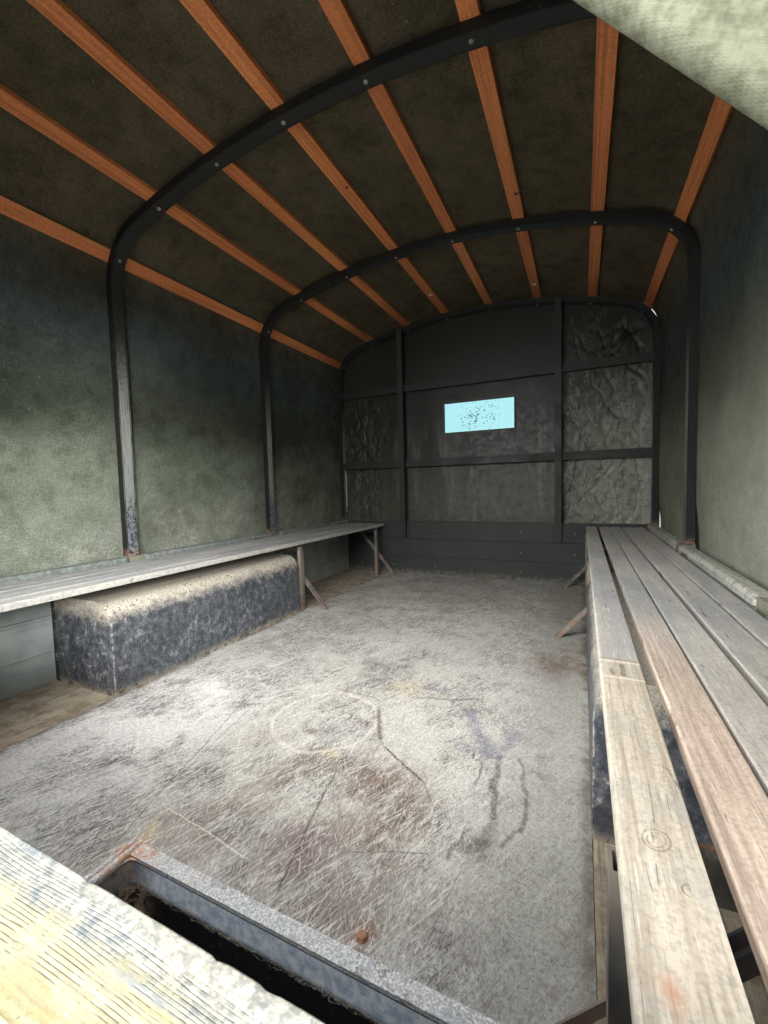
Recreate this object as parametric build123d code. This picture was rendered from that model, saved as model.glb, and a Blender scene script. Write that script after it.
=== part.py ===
from build123d import *
import math
import os

# Covered cargo body of a light military truck, in millimetres.
# X points to the right-hand side, Y forward to the cab, Z up.
# The origin lies under the middle of the body, where its two long sills stand.

os.makedirs("parts", exist_ok=True)

# Clearances
SEAT = 0.3  # between pieces that rest on each other
RUN = 5.0  # beside a piece that swings
PIN_FIT = 0.2  # round a pin, all the way
CUT_PAST = 1.0  # how far a cut reaches past the face that it opens

# Load bed, measured inside its boards
BED_LENGTH = 2780.0
BED_WIDTH = 2037.0
BOARD_TOP = 391.0  # top of the side caps above the floor
BOARD_DROP = 24.0  # how far the boards reach below the floor's surface
BOARD_COUNT = 3
BOARD_GAP = 2.0
BOARD_STRAP_SHARES = (0.2, 0.8)  # where the upright straps cross each bay
SIDE_BOARD_THICK = 25.0
CAP_HEIGHT = 25.0
CAP_WIDTH = 50.0
CAP_ROUND = 11.0
CAP_LIFT = 1.0  # under the cap, above the boards
CAP_END_FLAT = 1.0  # half the flat left at each rounded end
STRAP_WIDTH = 40.0
STRAP_THICK = 5.0

# Under-structure
SILL_SPACING = 760.0
SILL_HEIGHT = 100.0
SILL_FLANGE = 50.0
SILL_WALL = 6.0
SILL_HOLE = 14.0
SILL_HOLE_ROWS = 4
SILL_HOLE_FIRST = 300.0
SILL_HOLE_LAST = 380.0  # from the front of the bed
SILL_FRONT_SHORT = 10.0  # the sills end this far behind the front edge
CROSS_HEIGHT = 120.0
CROSS_FLANGE = 50.0
CROSS_WALL = 5.0
CROSS_WELL_GAP = 60.0  # from the step well's rim to the member ahead of it
CROSS_ARCH_GAP = 12.0
CROSS_MIDDLE_BACK = 520.0  # from the front of the bed to the member behind it
CROSS_FRONT_IN = 4.0
CROSS_END_GAP = 1.0
FLOOR_THICK = 25.0
EDGE_HEIGHT = 80.0
EDGE_WALL = 4.0
EDGE_PROUD = 2.0  # outside the sockets
REAR_SILL_DEPTH = 50.0
REAR_GAP = 5.0  # from the tailgate's inner face to the rear edge of the bed

# Hoops, a flat rectangular tube bent to a shallow arch
HOOP_COUNT = 4
REAR_HOOP = 118.0  # from the tailgate's inner face
FRONT_HOOP_PAST = 20.0  # the front hoop stands this far ahead of the headboard's face
SOCKET_CLEAR = 2.5  # from the boards' inner face out to the sockets
HOOP_WIDE = 50.0  # the tube's side along the truck
HOOP_DEEP = 30.0  # its other side, outward from the arch
HOOP_WALL = 3.0
HOOP_FOOT_GAP = 1.0  # above the bottom of its socket
HOOP_CROWN = 1832.0  # centre line above the floor
ROOF_RADIUS = 3160.0
CORNER_RADIUS = 225.0
SOCKET_WALL = 3.5
SOCKET_FIT = 0.5
SOCKET_DEPTH = 250.0

# Roof battens, by where they cross the hoop line, from left to right
BATTEN_ROOF_PLACES = (-780.0, -480.0, -190.0, 105.0, 410.0, 720.0)
BATTEN_EAVE_LEFT = 28.0  # the outermost lie on the bends, this far inside the legs
BATTEN_EAVE_RIGHT = 64.0
BATTEN_WIDTH = 50.0
BATTEN_THICK = 20.0
BATTEN_REAR = 62.0
BATTEN_FRONT_GAP = 4.0

# Canvas
CANVAS_THICK = 6.0
CANVAS_SKIRT = 200.0  # lower hem above the floor
CANVAS_REAR = 12.0
CURTAIN_DEPTH = 40.0
CURTAIN_LOW = 432.0
CURTAIN_CROWN_X = 4.0  # where the drawn-aside curtain leaves the crown
CURTAIN_CROWN_DROP = 245.0
CURTAIN_TAIL_X = 12.5  # lower end of its free edge from the boards' inner face
CURTAIN_CAP_CLEAR = 45.0  # above the side caps
CURTAIN_REAR_IN = 2.0  # inside the rear edge of the cover
CURTAIN_EDGE_GAP = 0.5  # inside the cover
CURTAIN_GAP = 3.0  # ahead of the body's front edge
CANOPY_PAST = 2.0  # the cover reaches past the front curtain
WINDOW_X = (-224.0, 257.0)
WINDOW_Z = (1026.0, 1230.0)
WINDOW_THICK = 2.0

# Front wall
HEADBOARD_THICK = 28.0
HEADBOARD_LIFT = 1.0
STAKE_DEPTH = 20.0
STAKE_WIDTH = 60.0
STAKE_WALL = 5.0
STAKE_CLEAR = 1.0
OUTER_STAKE_IN = 118.5  # from the boards' inner face
FRONT_POST_X = 533.0
FRONT_POST_WIDTH = 40.0
FRONT_POST_DEPTH = 30.0
POST_FOOT_SIDE = 15.0
POST_FOOT_LIFT = 15.0
POST_FOOT_DROP = 20.0
FRONT_RAIL_HEIGHTS = (818.0, 1366.0)
FRONT_RAIL_TALL = 50.0
FRONT_RAIL_THICK = 20.0

# Tailgate
TAILGATE_THICK = 45.0
TAILGATE_CAP_WIDTH = 60.0
TAILGATE_CAP_HEIGHT = 52.0
TAILGATE_TOP = 420.0
TAILGATE_CAP_ROUND = 5.0
TAILGATE_IN = 1.0  # inside the outer faces of the corner posts
TAILGATE_LIFT = 2.0
TAILGATE_STRAP_MIDDLE = 205.0
TAILGATE_STRAP_IN = 278.0  # the outer straps, from the tailgate's ends
PACKER_END = 20.0
HINGE_OUT = 72.0  # hinge line behind the tailgate's inner face
HINGE_DROP = 72.0  # and below the floor's surface
HINGE_PIN = 7.0
HINGE_EYE = 13.0
HINGE_LENGTH = 150.0
HINGE_SIDE_GAP = 2.0
HINGE_PIN_PROUD = 4.0
HINGE_OVERLAP = 1.0  # how far welded pieces run into each other
STRAP_HOOK_THICK = 6.0
LATCH_Y = 45.0
LATCH_PIVOT_Z = 330.0
LATCH_LOW = 200.0
LATCH_RADIUS = 9.0
LATCH_THICK = 10.0
LATCH_BAR = 10.0
LATCH_RELIEF = 2.0
LATCH_GRIP_LONG = 24.0
LATCH_GRIP_TALL = 15.0

# Wheel arches
ARCH_WIDTH = 330.0
ARCH_REAR = 682.0
ARCH_LENGTH = 985.0
ARCH_TOP = 305.0
ARCH_ROUND = 80.0
ARCH_WALL = 4.0

# Step well at the rear
WELL_WIDTH = 713.0
WELL_ARCH_GAP = 48.5  # from its right-hand end to the wheel arch's face
WELL_FRONT = 316.0
WELL_REAR = 66.0
WELL_DEPTH = 138.0
WELL_BEND = 84.0  # depth of the lengthwise bend in its walls
WELL_BEND_SLOPE = 7.0  # how far each wall leans in down to the bend
WELL_SLOPE = 34.0  # and down to the bottom
WELL_CORNER = 20.0
WELL_FIT = 0.5
WELL_WALL = 4.0
WELL_RIM = 21.0
WELL_LIP = 5.0  # radius of the two rolled lips at its left-hand end
FLOOR_EDGE_GAP = 0.5
STRIP_GAP = 1.0

# Benches
BENCH_TOP = 373.0
BENCH_REAR_END = 60.0
BENCH_FRONT_SHORT = 19.0  # from the headboard
SLAT_WIDTHS = (57.0, 52.0, 55.0, 58.0, 51.0)
SLAT_GAPS = (16.0, 4.0, 10.0, 5.0)
SLAT_THICK = 20.0
SLAT_ROUND = 3.0
BENCH_WALL_GAP = 15.5  # from the last slat to the boards
REAR_SUPPORT = 262.0
MIDDLE_SUPPORT_PAST = 63.0  # ahead of the wheel arch
FRONT_SUPPORT_SHORT = 124.0  # from the headboard
BEARER_THICK = 14.0
BEARER_HEIGHT = 40.0
BEARER_IN = 3.0  # behind the front slat's edge
BEARER_NOSE = 10.0
BEARER_HEEL = 20.0
BEARER_NECK = 2.0  # from the last slat to the bearer's raised heel
BENCH_HINGE_IN = 7.5  # hinge line from the boards' inner face
BENCH_BARREL = 6.5
BENCH_PIN = 3.4
BARREL_GAP = 1.0
LEAF_THICK = 3.0
LEAF_SIDE = 26.0
LEAF_DOWN = 30.0
LEAF_UP = 44.0
LUG_GAP = 2.0
LUG_THICK = 12.0
LEG_PROUD = 5.0  # the legs' faces ahead of the front slat's edge
LEG_DEPTH = 18.0
LEG_WIDTH = 28.0
LEG_WALL = 3.0
LEG_PIVOT_IN = 12.0  # from the leg's face
PIVOT_Z = 331.0
PIVOT_END = 10.0  # from a pivot to the top of the leg
PIVOT_PIN = 4.0
PIVOT_PROUD = 3.0
STRUT_PIVOT_IN = 167.0  # from the front slat's edge
STRUT_FOOT_OUT = 117.0
STRUT_DEPTH = 16.0
STRUT_WIDTH = 22.0
STRUT_END = 12.0
STRUT_WALL = 3.0
STRUT_WEB = 4.8
GROOVE_START = 30.0
GROOVE_PAST = 20.0

# Places that follow from the sizes above
FLOOR = SILL_HEIGHT + CROSS_HEIGHT + FLOOR_THICK
HALF_BED = BED_WIDTH / 2
SOCKET_OUTER = HOOP_WIDE + 2 * SOCKET_FIT + 2 * SOCKET_WALL
SOCKET_IN = HALF_BED + SOCKET_CLEAR
SOCKET_OUT = SOCKET_IN + SOCKET_OUTER
POCKET_OUT = SOCKET_OUT - SOCKET_WALL  # the hoops' legs stand in the outer part of the sockets
POCKET_IN = POCKET_OUT - HOOP_DEEP - 2 * SOCKET_FIT
HOOP_SPREAD = POCKET_IN + POCKET_OUT  # between the centre lines of the hoops' legs
EAVE_LEFT = BATTEN_EAVE_LEFT - HOOP_SPREAD / 2
EAVE_RIGHT = HOOP_SPREAD / 2 - BATTEN_EAVE_RIGHT
BATTEN_PLACES = (EAVE_LEFT, *BATTEN_ROOF_PLACES, EAVE_RIGHT)
BATTEN_BACK = HOOP_DEEP / 2 + SEAT + BATTEN_THICK  # outer face of a batten from the hoop line
# A batten's long edges on the bend stand this far out from the hoop line
BATTEN_CREST = math.hypot(CORNER_RADIUS + BATTEN_BACK, BATTEN_WIDTH / 2) - CORNER_RADIUS
CANVAS_IN = BATTEN_CREST + SEAT
CANVAS_OUT = CANVAS_IN + CANVAS_THICK
BED_FRONT = BED_LENGTH + HEADBOARD_THICK + STAKE_DEPTH + STAKE_CLEAR
CURTAIN_FRONT = BED_FRONT + CURTAIN_GAP
FRONTMOST = CURTAIN_FRONT + CANVAS_THICK + CANOPY_PAST
REARMOST = -(HINGE_OUT + HINGE_EYE)
TAILGATE_FACE = -(FRONTMOST + REARMOST) / 2  # Y of the tailgate's inner face
FRONT_HOOP = BED_LENGTH + FRONT_HOOP_PAST
HOOP_PITCH = (FRONT_HOOP - REAR_HOOP) / (HOOP_COUNT - 1)
HOOPS = [REAR_HOOP + HOOP_PITCH * i for i in range(HOOP_COUNT)]
CORNER_POST_END = HOOPS[0] + SOCKET_OUTER / 2
BOARD_PITCH = (BOARD_TOP - CAP_HEIGHT - CAP_LIFT + BOARD_DROP) / BOARD_COUNT
OUTER_STAKE_X = HALF_BED - OUTER_STAKE_IN
TAILGATE_HALF = SOCKET_OUT - TAILGATE_IN
OUTER_STRAP_X = TAILGATE_HALF - TAILGATE_STRAP_IN
TAILGATE_STRAPS = (-OUTER_STRAP_X, -TAILGATE_STRAP_MIDDLE, TAILGATE_STRAP_MIDDLE, OUTER_STRAP_X)
ARCH_FACE = HALF_BED - ARCH_WIDTH  # its inner face from the middle of the body
WELL_RIGHT = ARCH_FACE - WELL_ARCH_GAP
WELL_X = (WELL_RIGHT - WELL_WIDTH, WELL_RIGHT)
BENCH_DEPTH = sum(SLAT_WIDTHS) + sum(SLAT_GAPS)
BENCH_BACK = HALF_BED - BENCH_WALL_GAP
BENCH_FRONT = BENCH_BACK - BENCH_DEPTH
BENCH_FRONT_END = BED_LENGTH - BENCH_FRONT_SHORT
MIDDLE_SUPPORT = ARCH_REAR + ARCH_LENGTH + MIDDLE_SUPPORT_PAST
SUPPORTS = (REAR_SUPPORT, MIDDLE_SUPPORT, BED_LENGTH - FRONT_SUPPORT_SHORT)
BENCH_HINGE_X = HALF_BED - BENCH_HINGE_IN
BENCH_HINGE_Z = BENCH_TOP
LEG_X = BENCH_FRONT - LEG_PROUD
LEG_PIVOT_X = LEG_X + LEG_PIVOT_IN
STRUT_PIVOT_X = BENCH_FRONT + STRUT_PIVOT_IN
STRUT_FOOT_X = BENCH_FRONT - STRUT_FOOT_OUT


def block(x, y, z):
    """A box from three pairs of ends, y from the tailgate's inner face and z from the floor."""
    size = (x[1] - x[0], y[1] - y[0], z[1] - z[0])
    middle = ((x[0] + x[1]) / 2, (y[0] + y[1]) / 2 + TAILGATE_FACE, (z[0] + z[1]) / 2 + FLOOR)
    return Pos(*middle) * Box(*size)


def prism_y(points, y):
    """An outline in X and Z, drawn along the body."""
    outline = Polyline(*[(px, 0, pz) for px, pz in points], close=True)
    solid = extrude(make_face(outline), amount=y[1] - y[0], dir=(0, 1, 0))
    return Pos(0, y[0] + TAILGATE_FACE, FLOOR) * solid


def prism_x(points, x):
    """An outline in Y and Z, drawn across the body."""
    outline = Polyline(*[(0, py, pz) for py, pz in points], close=True)
    solid = extrude(make_face(outline), amount=x[1] - x[0], dir=(1, 0, 0))
    return Pos(x[0], TAILGATE_FACE, FLOOR) * solid


def rod_x(radius, x, y, z):
    """A round bar across the body."""
    bar = Cylinder(radius, x[1] - x[0], rotation=(0, 90, 0))
    return Pos((x[0] + x[1]) / 2, y + TAILGATE_FACE, z + FLOOR) * bar


def rod_y(radius, x, y, z):
    """A round bar along the body."""
    bar = Cylinder(radius, y[1] - y[0], rotation=(90, 0, 0))
    return Pos(x, (y[0] + y[1]) / 2 + TAILGATE_FACE, z + FLOOR) * bar


def other_side(solids):
    """The same pieces on the left-hand side."""
    return [mirror(s, about=Plane.YZ) for s in solids]


def save(name, solids):
    """Write one sub-part, whose solids don't touch each other."""
    pieces = []
    for solid in solids:
        pieces.extend(solid.solids())
    export_step(Compound(children=pieces), f"parts/{name}.step")


def save_pair(name, solids):
    """Write a sub-part for the right-hand side and its mirror image for the left."""
    save(f"{name}_right", solids)
    save(f"{name}_left", other_side(solids))


def arch_edges(offset):
    """Corner and roof geometry of the hoop line moved outward by offset."""
    half = HOOP_SPREAD / 2 + offset
    corner = CORNER_RADIUS + offset
    roof = ROOF_RADIUS + offset
    corner_x = half - corner
    roof_z = HOOP_CROWN - ROOF_RADIUS
    corner_z = roof_z + math.sqrt((roof - corner) ** 2 - corner_x ** 2)
    lean = math.atan2(corner_x, corner_z - roof_z)
    return half, corner, roof, corner_x, roof_z, corner_z, lean


def arch_face(offset, low):
    """The area inside the hoop line moved outward by offset, down to the height low."""
    half, corner, roof, corner_x, roof_z, corner_z, lean = arch_edges(offset)
    bend = (math.pi / 2 - lean) / 2
    knee = (half, 0, corner_z)
    elbow = (corner_x + corner * math.cos(bend), 0, corner_z + corner * math.sin(bend))
    meet = (roof * math.sin(lean), 0, roof_z + roof * math.cos(lean))
    crown = (0, 0, roof_z + roof)
    foot = (half, 0, low)
    left = [(-p[0], 0, p[2]) for p in (foot, knee, elbow, meet)]
    edges = [
        Line(foot, knee),
        ThreePointArc(knee, elbow, meet),
        ThreePointArc(meet, crown, left[3]),
        ThreePointArc(left[3], left[2], left[1]),
        Line(left[1], left[0]),
        Line(left[0], foot),
    ]
    return make_face(edges)


def arch_solid(offset, low, y):
    """The space inside the hoop line moved outward by offset, over a stretch of the body."""
    solid = extrude(arch_face(offset, low), amount=y[1] - y[0], dir=(0, 1, 0))
    return Pos(0, y[0] + TAILGATE_FACE, FLOOR) * solid


def hoop_line(x):
    """Height of the hoop line at x, and how far its outward direction leans from upright."""
    _, corner, roof, corner_x, roof_z, corner_z, lean = arch_edges(0)
    if x <= roof * math.sin(lean):
        angle = math.asin(x / roof)
        return roof_z + roof * math.cos(angle), angle
    angle = math.asin((x - corner_x) / corner)
    return corner_z + corner * math.cos(angle), angle


def make_under_structure():
    sill_z = (-FLOOR, -FLOOR + SILL_HEIGHT - SEAT)
    hole_pitch = (BED_LENGTH - SILL_HOLE_FIRST - SILL_HOLE_LAST) / (SILL_HOLE_ROWS - 1)
    sills = []
    for side in (-1, 1):
        web = side * SILL_SPACING / 2
        tip = web - side * SILL_FLANGE
        inner = web - side * SILL_WALL
        low, high = sill_z
        outline = [
            (web, low), (web, high), (tip, high), (tip, high - SILL_WALL),
            (inner, high - SILL_WALL), (inner, low + SILL_WALL), (tip, low + SILL_WALL), (tip, low),
        ]
        sill = prism_y(outline, (0, BED_FRONT - SILL_FRONT_SHORT))
        for row in range(SILL_HOLE_ROWS):
            y = SILL_HOLE_FIRST + row * hole_pitch
            middle = (web + tip) / 2
            hole = Cylinder(SILL_HOLE / 2, 4 * SILL_WALL)
            sill -= Pos(middle, y + TAILGATE_FACE, SILL_WALL / 2) * hole
        sills.append(sill)
    save("sills", sills)

    low = -FLOOR + SILL_HEIGHT
    high = -FLOOR_THICK - SEAT
    reach = SOCKET_IN - CROSS_END_GAP
    members = []
    # Columns: front face, half length
    table = [
        (WELL_FRONT + WELL_RIM + CROSS_WELL_GAP, reach),
        (ARCH_REAR - CROSS_ARCH_GAP, reach),
        (ARCH_REAR + ARCH_LENGTH / 2, ARCH_FACE - CROSS_ARCH_GAP),
        (ARCH_REAR + ARCH_LENGTH + CROSS_ARCH_GAP + CROSS_FLANGE, reach),
        (BED_LENGTH - CROSS_MIDDLE_BACK, reach),
        (BED_LENGTH - CROSS_FRONT_IN, reach),
    ]
    for front, half in table:
        back = front - CROSS_FLANGE
        web = front - CROSS_WALL
        outline = [
            (front, low), (front, high), (back, high), (back, high - CROSS_WALL),
            (web, high - CROSS_WALL), (web, low + CROSS_WALL), (back, low + CROSS_WALL), (back, low),
        ]
        members.append(prism_x(outline, (-half, half)))
    save("cross_members", members)

    rails = []
    top = -BOARD_DROP - SEAT
    bottom = top - EDGE_HEIGHT
    outer, inner = SOCKET_OUT + EDGE_PROUD, SOCKET_IN
    web = outer - EDGE_WALL
    outline = [
        (outer, bottom), (outer, top), (inner, top), (inner, top - EDGE_WALL),
        (web, top - EDGE_WALL), (web, bottom + EDGE_WALL), (inner, bottom + EDGE_WALL), (inner, bottom),
    ]
    side_rail = prism_y(outline, (REAR_GAP, BED_FRONT))
    rails.append(side_rail)
    rails.extend(other_side([side_rail]))
    y0, y1 = BED_LENGTH + SEAT, BED_FRONT
    outline = [
        (y1, bottom), (y1, -SEAT), (y0, -SEAT), (y0, -SEAT - EDGE_WALL),
        (y1 - EDGE_WALL, -SEAT - EDGE_WALL), (y1 - EDGE_WALL, bottom + EDGE_WALL),
        (y0, bottom + EDGE_WALL), (y0, bottom),
    ]
    rails.append(prism_x(outline, (-(inner - SEAT), inner - SEAT)))
    save("edge_rails", rails)


def make_rear_sill():
    """The rear beam of the bed with the fixed eyes of the tailgate's hinges."""
    low = -FLOOR + SILL_HEIGHT
    high = -FLOOR_THICK - SEAT
    y0, y1 = REAR_GAP, REAR_GAP + REAR_SILL_DEPTH
    outline = [
        (y0, low), (y0, high), (y1, high), (y1, high - CROSS_WALL), (y0 + CROSS_WALL, high - CROSS_WALL),
        (y0 + CROSS_WALL, low + CROSS_WALL), (y1, low + CROSS_WALL), (y1, low),
    ]
    reach = SOCKET_IN - CROSS_END_GAP
    beam = prism_x(outline, (-reach, reach))
    root = y0 + HINGE_OVERLAP
    pin_half = HINGE_LENGTH / 2 + HINGE_PIN_PROUD
    pins = []
    for place in TAILGATE_STRAPS:
        for side in (-1, 1):
            near = place + side * (STRAP_WIDTH / 2 + HINGE_SIDE_GAP)
            far = place + side * HINGE_LENGTH / 2
            span = (min(near, far), max(near, far))
            arm = [
                (root, -HINGE_DROP - HINGE_EYE), (root, -HINGE_DROP + HINGE_EYE),
                (-HINGE_OUT, -HINGE_DROP + HINGE_EYE), (-HINGE_OUT, -HINGE_DROP - HINGE_EYE),
            ]
            lug = prism_x(arm, span) + rod_x(HINGE_EYE, span, -HINGE_OUT, -HINGE_DROP)
            beam += lug - rod_x(HINGE_PIN + PIN_FIT, span, -HINGE_OUT, -HINGE_DROP)
        pins.append(rod_x(HINGE_PIN, (place - pin_half, place + pin_half), -HINGE_OUT, -HINGE_DROP))
    save("rear_sill", [beam])
    save("tailgate_hinge_pins", pins)


def make_floor():
    edge = ARCH_FACE - FLOOR_EDGE_GAP
    centre = block((-edge, edge), (REAR_GAP, BED_LENGTH), (-FLOOR_THICK, 0))
    hole = block(
        (WELL_X[0], WELL_X[1]), (WELL_REAR, WELL_FRONT), (-2 * FLOOR_THICK, FLOOR_THICK)
    )
    save("floor_centre", [centre - hole])
    strips = []
    arch_ends = (ARCH_REAR - STRIP_GAP, ARCH_REAR + ARCH_LENGTH + STRIP_GAP)
    for y in ((REAR_GAP, arch_ends[0]), (arch_ends[1], BED_LENGTH)):
        strips.append(block((edge + STRIP_GAP, HALF_BED - STRIP_GAP), y, (-FLOOR_THICK, 0)))
    save("floor_side_strips", strips + other_side(strips))


def well_form(inset, top, bottom):
    """The well's pressed form, smaller all round by inset, with a bend along its walls."""
    middle_y = (WELL_REAR + WELL_FRONT) / 2 + TAILGATE_FACE
    middle_x = (WELL_X[0] + WELL_X[1]) / 2
    sections = []
    for height, slope in ((top, 0), (-WELL_BEND, WELL_BEND_SLOPE), (bottom, WELL_SLOPE)):
        width = WELL_WIDTH - 2 * (inset + slope)
        depth = WELL_FRONT - WELL_REAR - 2 * inset - slope
        plane = Plane(origin=(middle_x, middle_y - slope / 2, height + FLOOR), z_dir=(0, 0, 1))
        sections.append(plane * RectangleRounded(width, depth, WELL_CORNER))
    return loft(sections, ruled=True)


def make_step_well():
    outer = well_form(WELL_FIT, SEAT, -WELL_DEPTH)
    inner = well_form(WELL_FIT + WELL_WALL, SEAT, -WELL_DEPTH + WELL_WALL)
    rim_top = SEAT + WELL_WALL
    rim_y = (WELL_REAR - WELL_RIM, WELL_FRONT + WELL_RIM)
    rim = block((WELL_X[0] - WELL_RIM, WELL_X[1] + WELL_RIM), rim_y, (SEAT, rim_top))
    mouth_in = WELL_FIT + WELL_WALL
    mouth = block(
        (WELL_X[0] + mouth_in, WELL_X[1] - mouth_in),
        (WELL_REAR + mouth_in, WELL_FRONT - mouth_in),
        (-WELL_WALL, 2 * WELL_WALL),
    )
    for lip_x in (WELL_X[0] - WELL_RIM + WELL_LIP, WELL_X[0] + WELL_WALL - WELL_LIP):
        lip = rod_y(WELL_LIP, lip_x, rim_y, rim_top)
        rim += lip & block((lip_x - WELL_LIP, lip_x + WELL_LIP), rim_y, (SEAT, rim_top + WELL_LIP))
    save("step_well", [(outer - inner) + (rim - mouth)])


def arch_box(inset, low):
    """A wheel arch's form, smaller all round by inset, with its inner top edge rounded."""
    x0, x1 = ARCH_FACE + inset, HALF_BED - SEAT - inset
    top = ARCH_TOP - inset
    radius = ARCH_ROUND - inset
    mid = radius * (1 - math.sqrt(0.5))
    edges = [
        Line((x0, 0, low), (x0, 0, top - radius)),
        ThreePointArc((x0, 0, top - radius), (x0 + mid, 0, top - mid), (x0 + radius, 0, top)),
        Line((x0 + radius, 0, top), (x1, 0, top)),
        Line((x1, 0, top), (x1, 0, low)),
        Line((x1, 0, low), (x0, 0, low)),
    ]
    solid = extrude(make_face(edges), amount=ARCH_LENGTH - 2 * inset, dir=(0, 1, 0))
    return Pos(0, ARCH_REAR + inset + TAILGATE_FACE, FLOOR) * solid


def make_wheel_arches():
    arch = arch_box(0, -FLOOR_THICK) - arch_box(ARCH_WALL, -2 * FLOOR_THICK)
    save_pair("wheel_arch", [arch])


def board_heights():
    """Lower and upper edge of each plank in a side or the tailgate."""
    rows = []
    for i in range(BOARD_COUNT):
        low = -BOARD_DROP + i * BOARD_PITCH
        rows.append((low, low + BOARD_PITCH - BOARD_GAP))
    return rows


def make_sides():
    bays = []
    ends = [CORNER_POST_END] + [h + s * SOCKET_OUTER / 2 for h in HOOPS[1:] for s in (-1, 1)]
    for i in range(HOOP_COUNT - 1):
        bays.append((ends[2 * i] + SEAT, ends[2 * i + 1] - SEAT))
    boards = []
    caps = []
    straps = []
    outer = HALF_BED + SIDE_BOARD_THICK
    for bay in bays:
        for z in board_heights():
            boards.append(block((HALF_BED, outer), bay, z))
        cap = block((HALF_BED, HALF_BED + CAP_WIDTH), bay, (BOARD_TOP - CAP_HEIGHT, BOARD_TOP))
        ends_z = cap.edges().filter_by(Axis.Z)
        cap = fillet(ends_z, CAP_WIDTH / 2 - CAP_END_FLAT)
        cap = fillet(cap.faces().sort_by(Axis.Z)[-1].edges(), CAP_ROUND)
        caps.append(cap)
        for share in BOARD_STRAP_SHARES:
            y = bay[0] + share * (bay[1] - bay[0])
            strap_z = (-BOARD_DROP, BOARD_TOP - CAP_HEIGHT - CAP_LIFT)
            strap_x = (outer + SEAT, outer + SEAT + STRAP_THICK)
            straps.append(block(strap_x, (y - STRAP_WIDTH / 2, y + STRAP_WIDTH / 2), strap_z))
    save_pair("side_boards", boards)
    save_pair("side_caps", caps)
    save("side_board_straps", straps + other_side(straps))

    half = SOCKET_OUTER / 2
    hollow = half - SOCKET_WALL
    pocket = (POCKET_IN, POCKET_OUT)
    pocket_z = (BOARD_TOP - SOCKET_DEPTH, BOARD_TOP + CUT_PAST)
    cell = (SOCKET_IN + SOCKET_WALL, POCKET_IN - SOCKET_WALL)
    cell_z = (-BOARD_DROP - CUT_PAST, BOARD_TOP - SOCKET_WALL)
    sockets = []
    for y in HOOPS[1:]:
        socket = block((SOCKET_IN, SOCKET_OUT), (y - half, y + half), (-BOARD_DROP, BOARD_TOP))
        socket -= block(pocket, (y - hollow, y + hollow), pocket_z)
        socket -= block(cell, (y - hollow, y + hollow), cell_z)
        sockets.append(socket)
    save("hoop_sockets", sockets + other_side(sockets))
    y = HOOPS[0]
    post = block((SOCKET_IN, SOCKET_OUT), (REAR_GAP, CORNER_POST_END), (-BOARD_DROP, BOARD_TOP))
    post -= block(pocket, (y - hollow, y + hollow), pocket_z)
    save("rear_corner_posts", [post] + other_side([post]))


def make_hoops():
    low = BOARD_TOP - SOCKET_DEPTH + HOOP_FOOT_GAP
    half = HOOP_DEEP / 2
    inner = half - HOOP_WALL
    for i, y in enumerate(HOOPS):
        wide = (y - HOOP_WIDE / 2, y + HOOP_WIDE / 2)
        narrow = (wide[0] + HOOP_WALL, wide[1] - HOOP_WALL)
        bar = arch_solid(half, low, wide) - arch_solid(-half, low - CUT_PAST, wide)
        bore = arch_solid(inner, low - CUT_PAST, narrow)
        bore -= arch_solid(-inner, low - 2 * CUT_PAST, narrow)
        save(f"hoop_{i + 1}", [bar - bore])


def make_battens():
    battens = []
    length = CURTAIN_FRONT - BATTEN_FRONT_GAP - BATTEN_REAR
    lift = HOOP_DEEP / 2 + SEAT + BATTEN_THICK / 2
    for place in BATTEN_PLACES:
        z, lean = hoop_line(abs(place))
        lean = math.copysign(lean, place)
        middle = (
            place + lift * math.sin(lean),
            BATTEN_REAR + length / 2 + TAILGATE_FACE,
            z + lift * math.cos(lean) + FLOOR,
        )
        turn = Rotation(0, math.degrees(lean), 0)
        battens.append(Pos(*middle) * turn * Box(BATTEN_WIDTH, length, BATTEN_THICK))
    save("roof_battens", battens)


def make_canvas():
    span = (CANVAS_REAR, FRONTMOST)
    skin = arch_solid(CANVAS_OUT, CANVAS_SKIRT, span)
    skin -= arch_solid(CANVAS_IN, CANVAS_SKIRT - CUT_PAST, span)
    save("canopy", [skin])

    panel = (CURTAIN_FRONT, CURTAIN_FRONT + CANVAS_THICK)
    curtain = arch_solid(CANVAS_IN - CURTAIN_EDGE_GAP, CANVAS_SKIRT, panel)
    curtain -= block(WINDOW_X, panel, WINDOW_Z)
    save("front_curtain", [curtain])
    middle = CURTAIN_FRONT + CANVAS_THICK / 2
    window = block(
        (WINDOW_X[0] + SEAT, WINDOW_X[1] - SEAT),
        (middle - WINDOW_THICK / 2, middle + WINDOW_THICK / 2),
        (WINDOW_Z[0] + SEAT, WINDOW_Z[1] - SEAT),
    )
    save("front_window", [window])

    y0 = CANVAS_REAR + CURTAIN_REAR_IN
    gathered = (y0, y0 + CURTAIN_DEPTH)
    inside = arch_solid(CANVAS_IN - 2 * CURTAIN_EDGE_GAP, CURTAIN_LOW, gathered)
    top = HOOP_CROWN + 2 * HOOP_WIDE
    outer = HOOP_SPREAD / 2 + 2 * HOOP_WIDE
    crown = (CURTAIN_CROWN_X, HOOP_CROWN - CURTAIN_CROWN_DROP)
    tail = (HALF_BED - CURTAIN_TAIL_X, CURTAIN_LOW)
    sweep = [(CURTAIN_CROWN_X, top), crown, tail, (outer, CURTAIN_LOW), (outer, top)]
    over_cap = (CURTAIN_LOW - CUT_PAST, BOARD_TOP + CURTAIN_CAP_CLEAR)
    clear = block((HALF_BED - RUN, outer), gathered, over_cap)
    save_pair("rear_curtain", [(inside & prism_y(sweep, gathered)) - clear])


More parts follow.
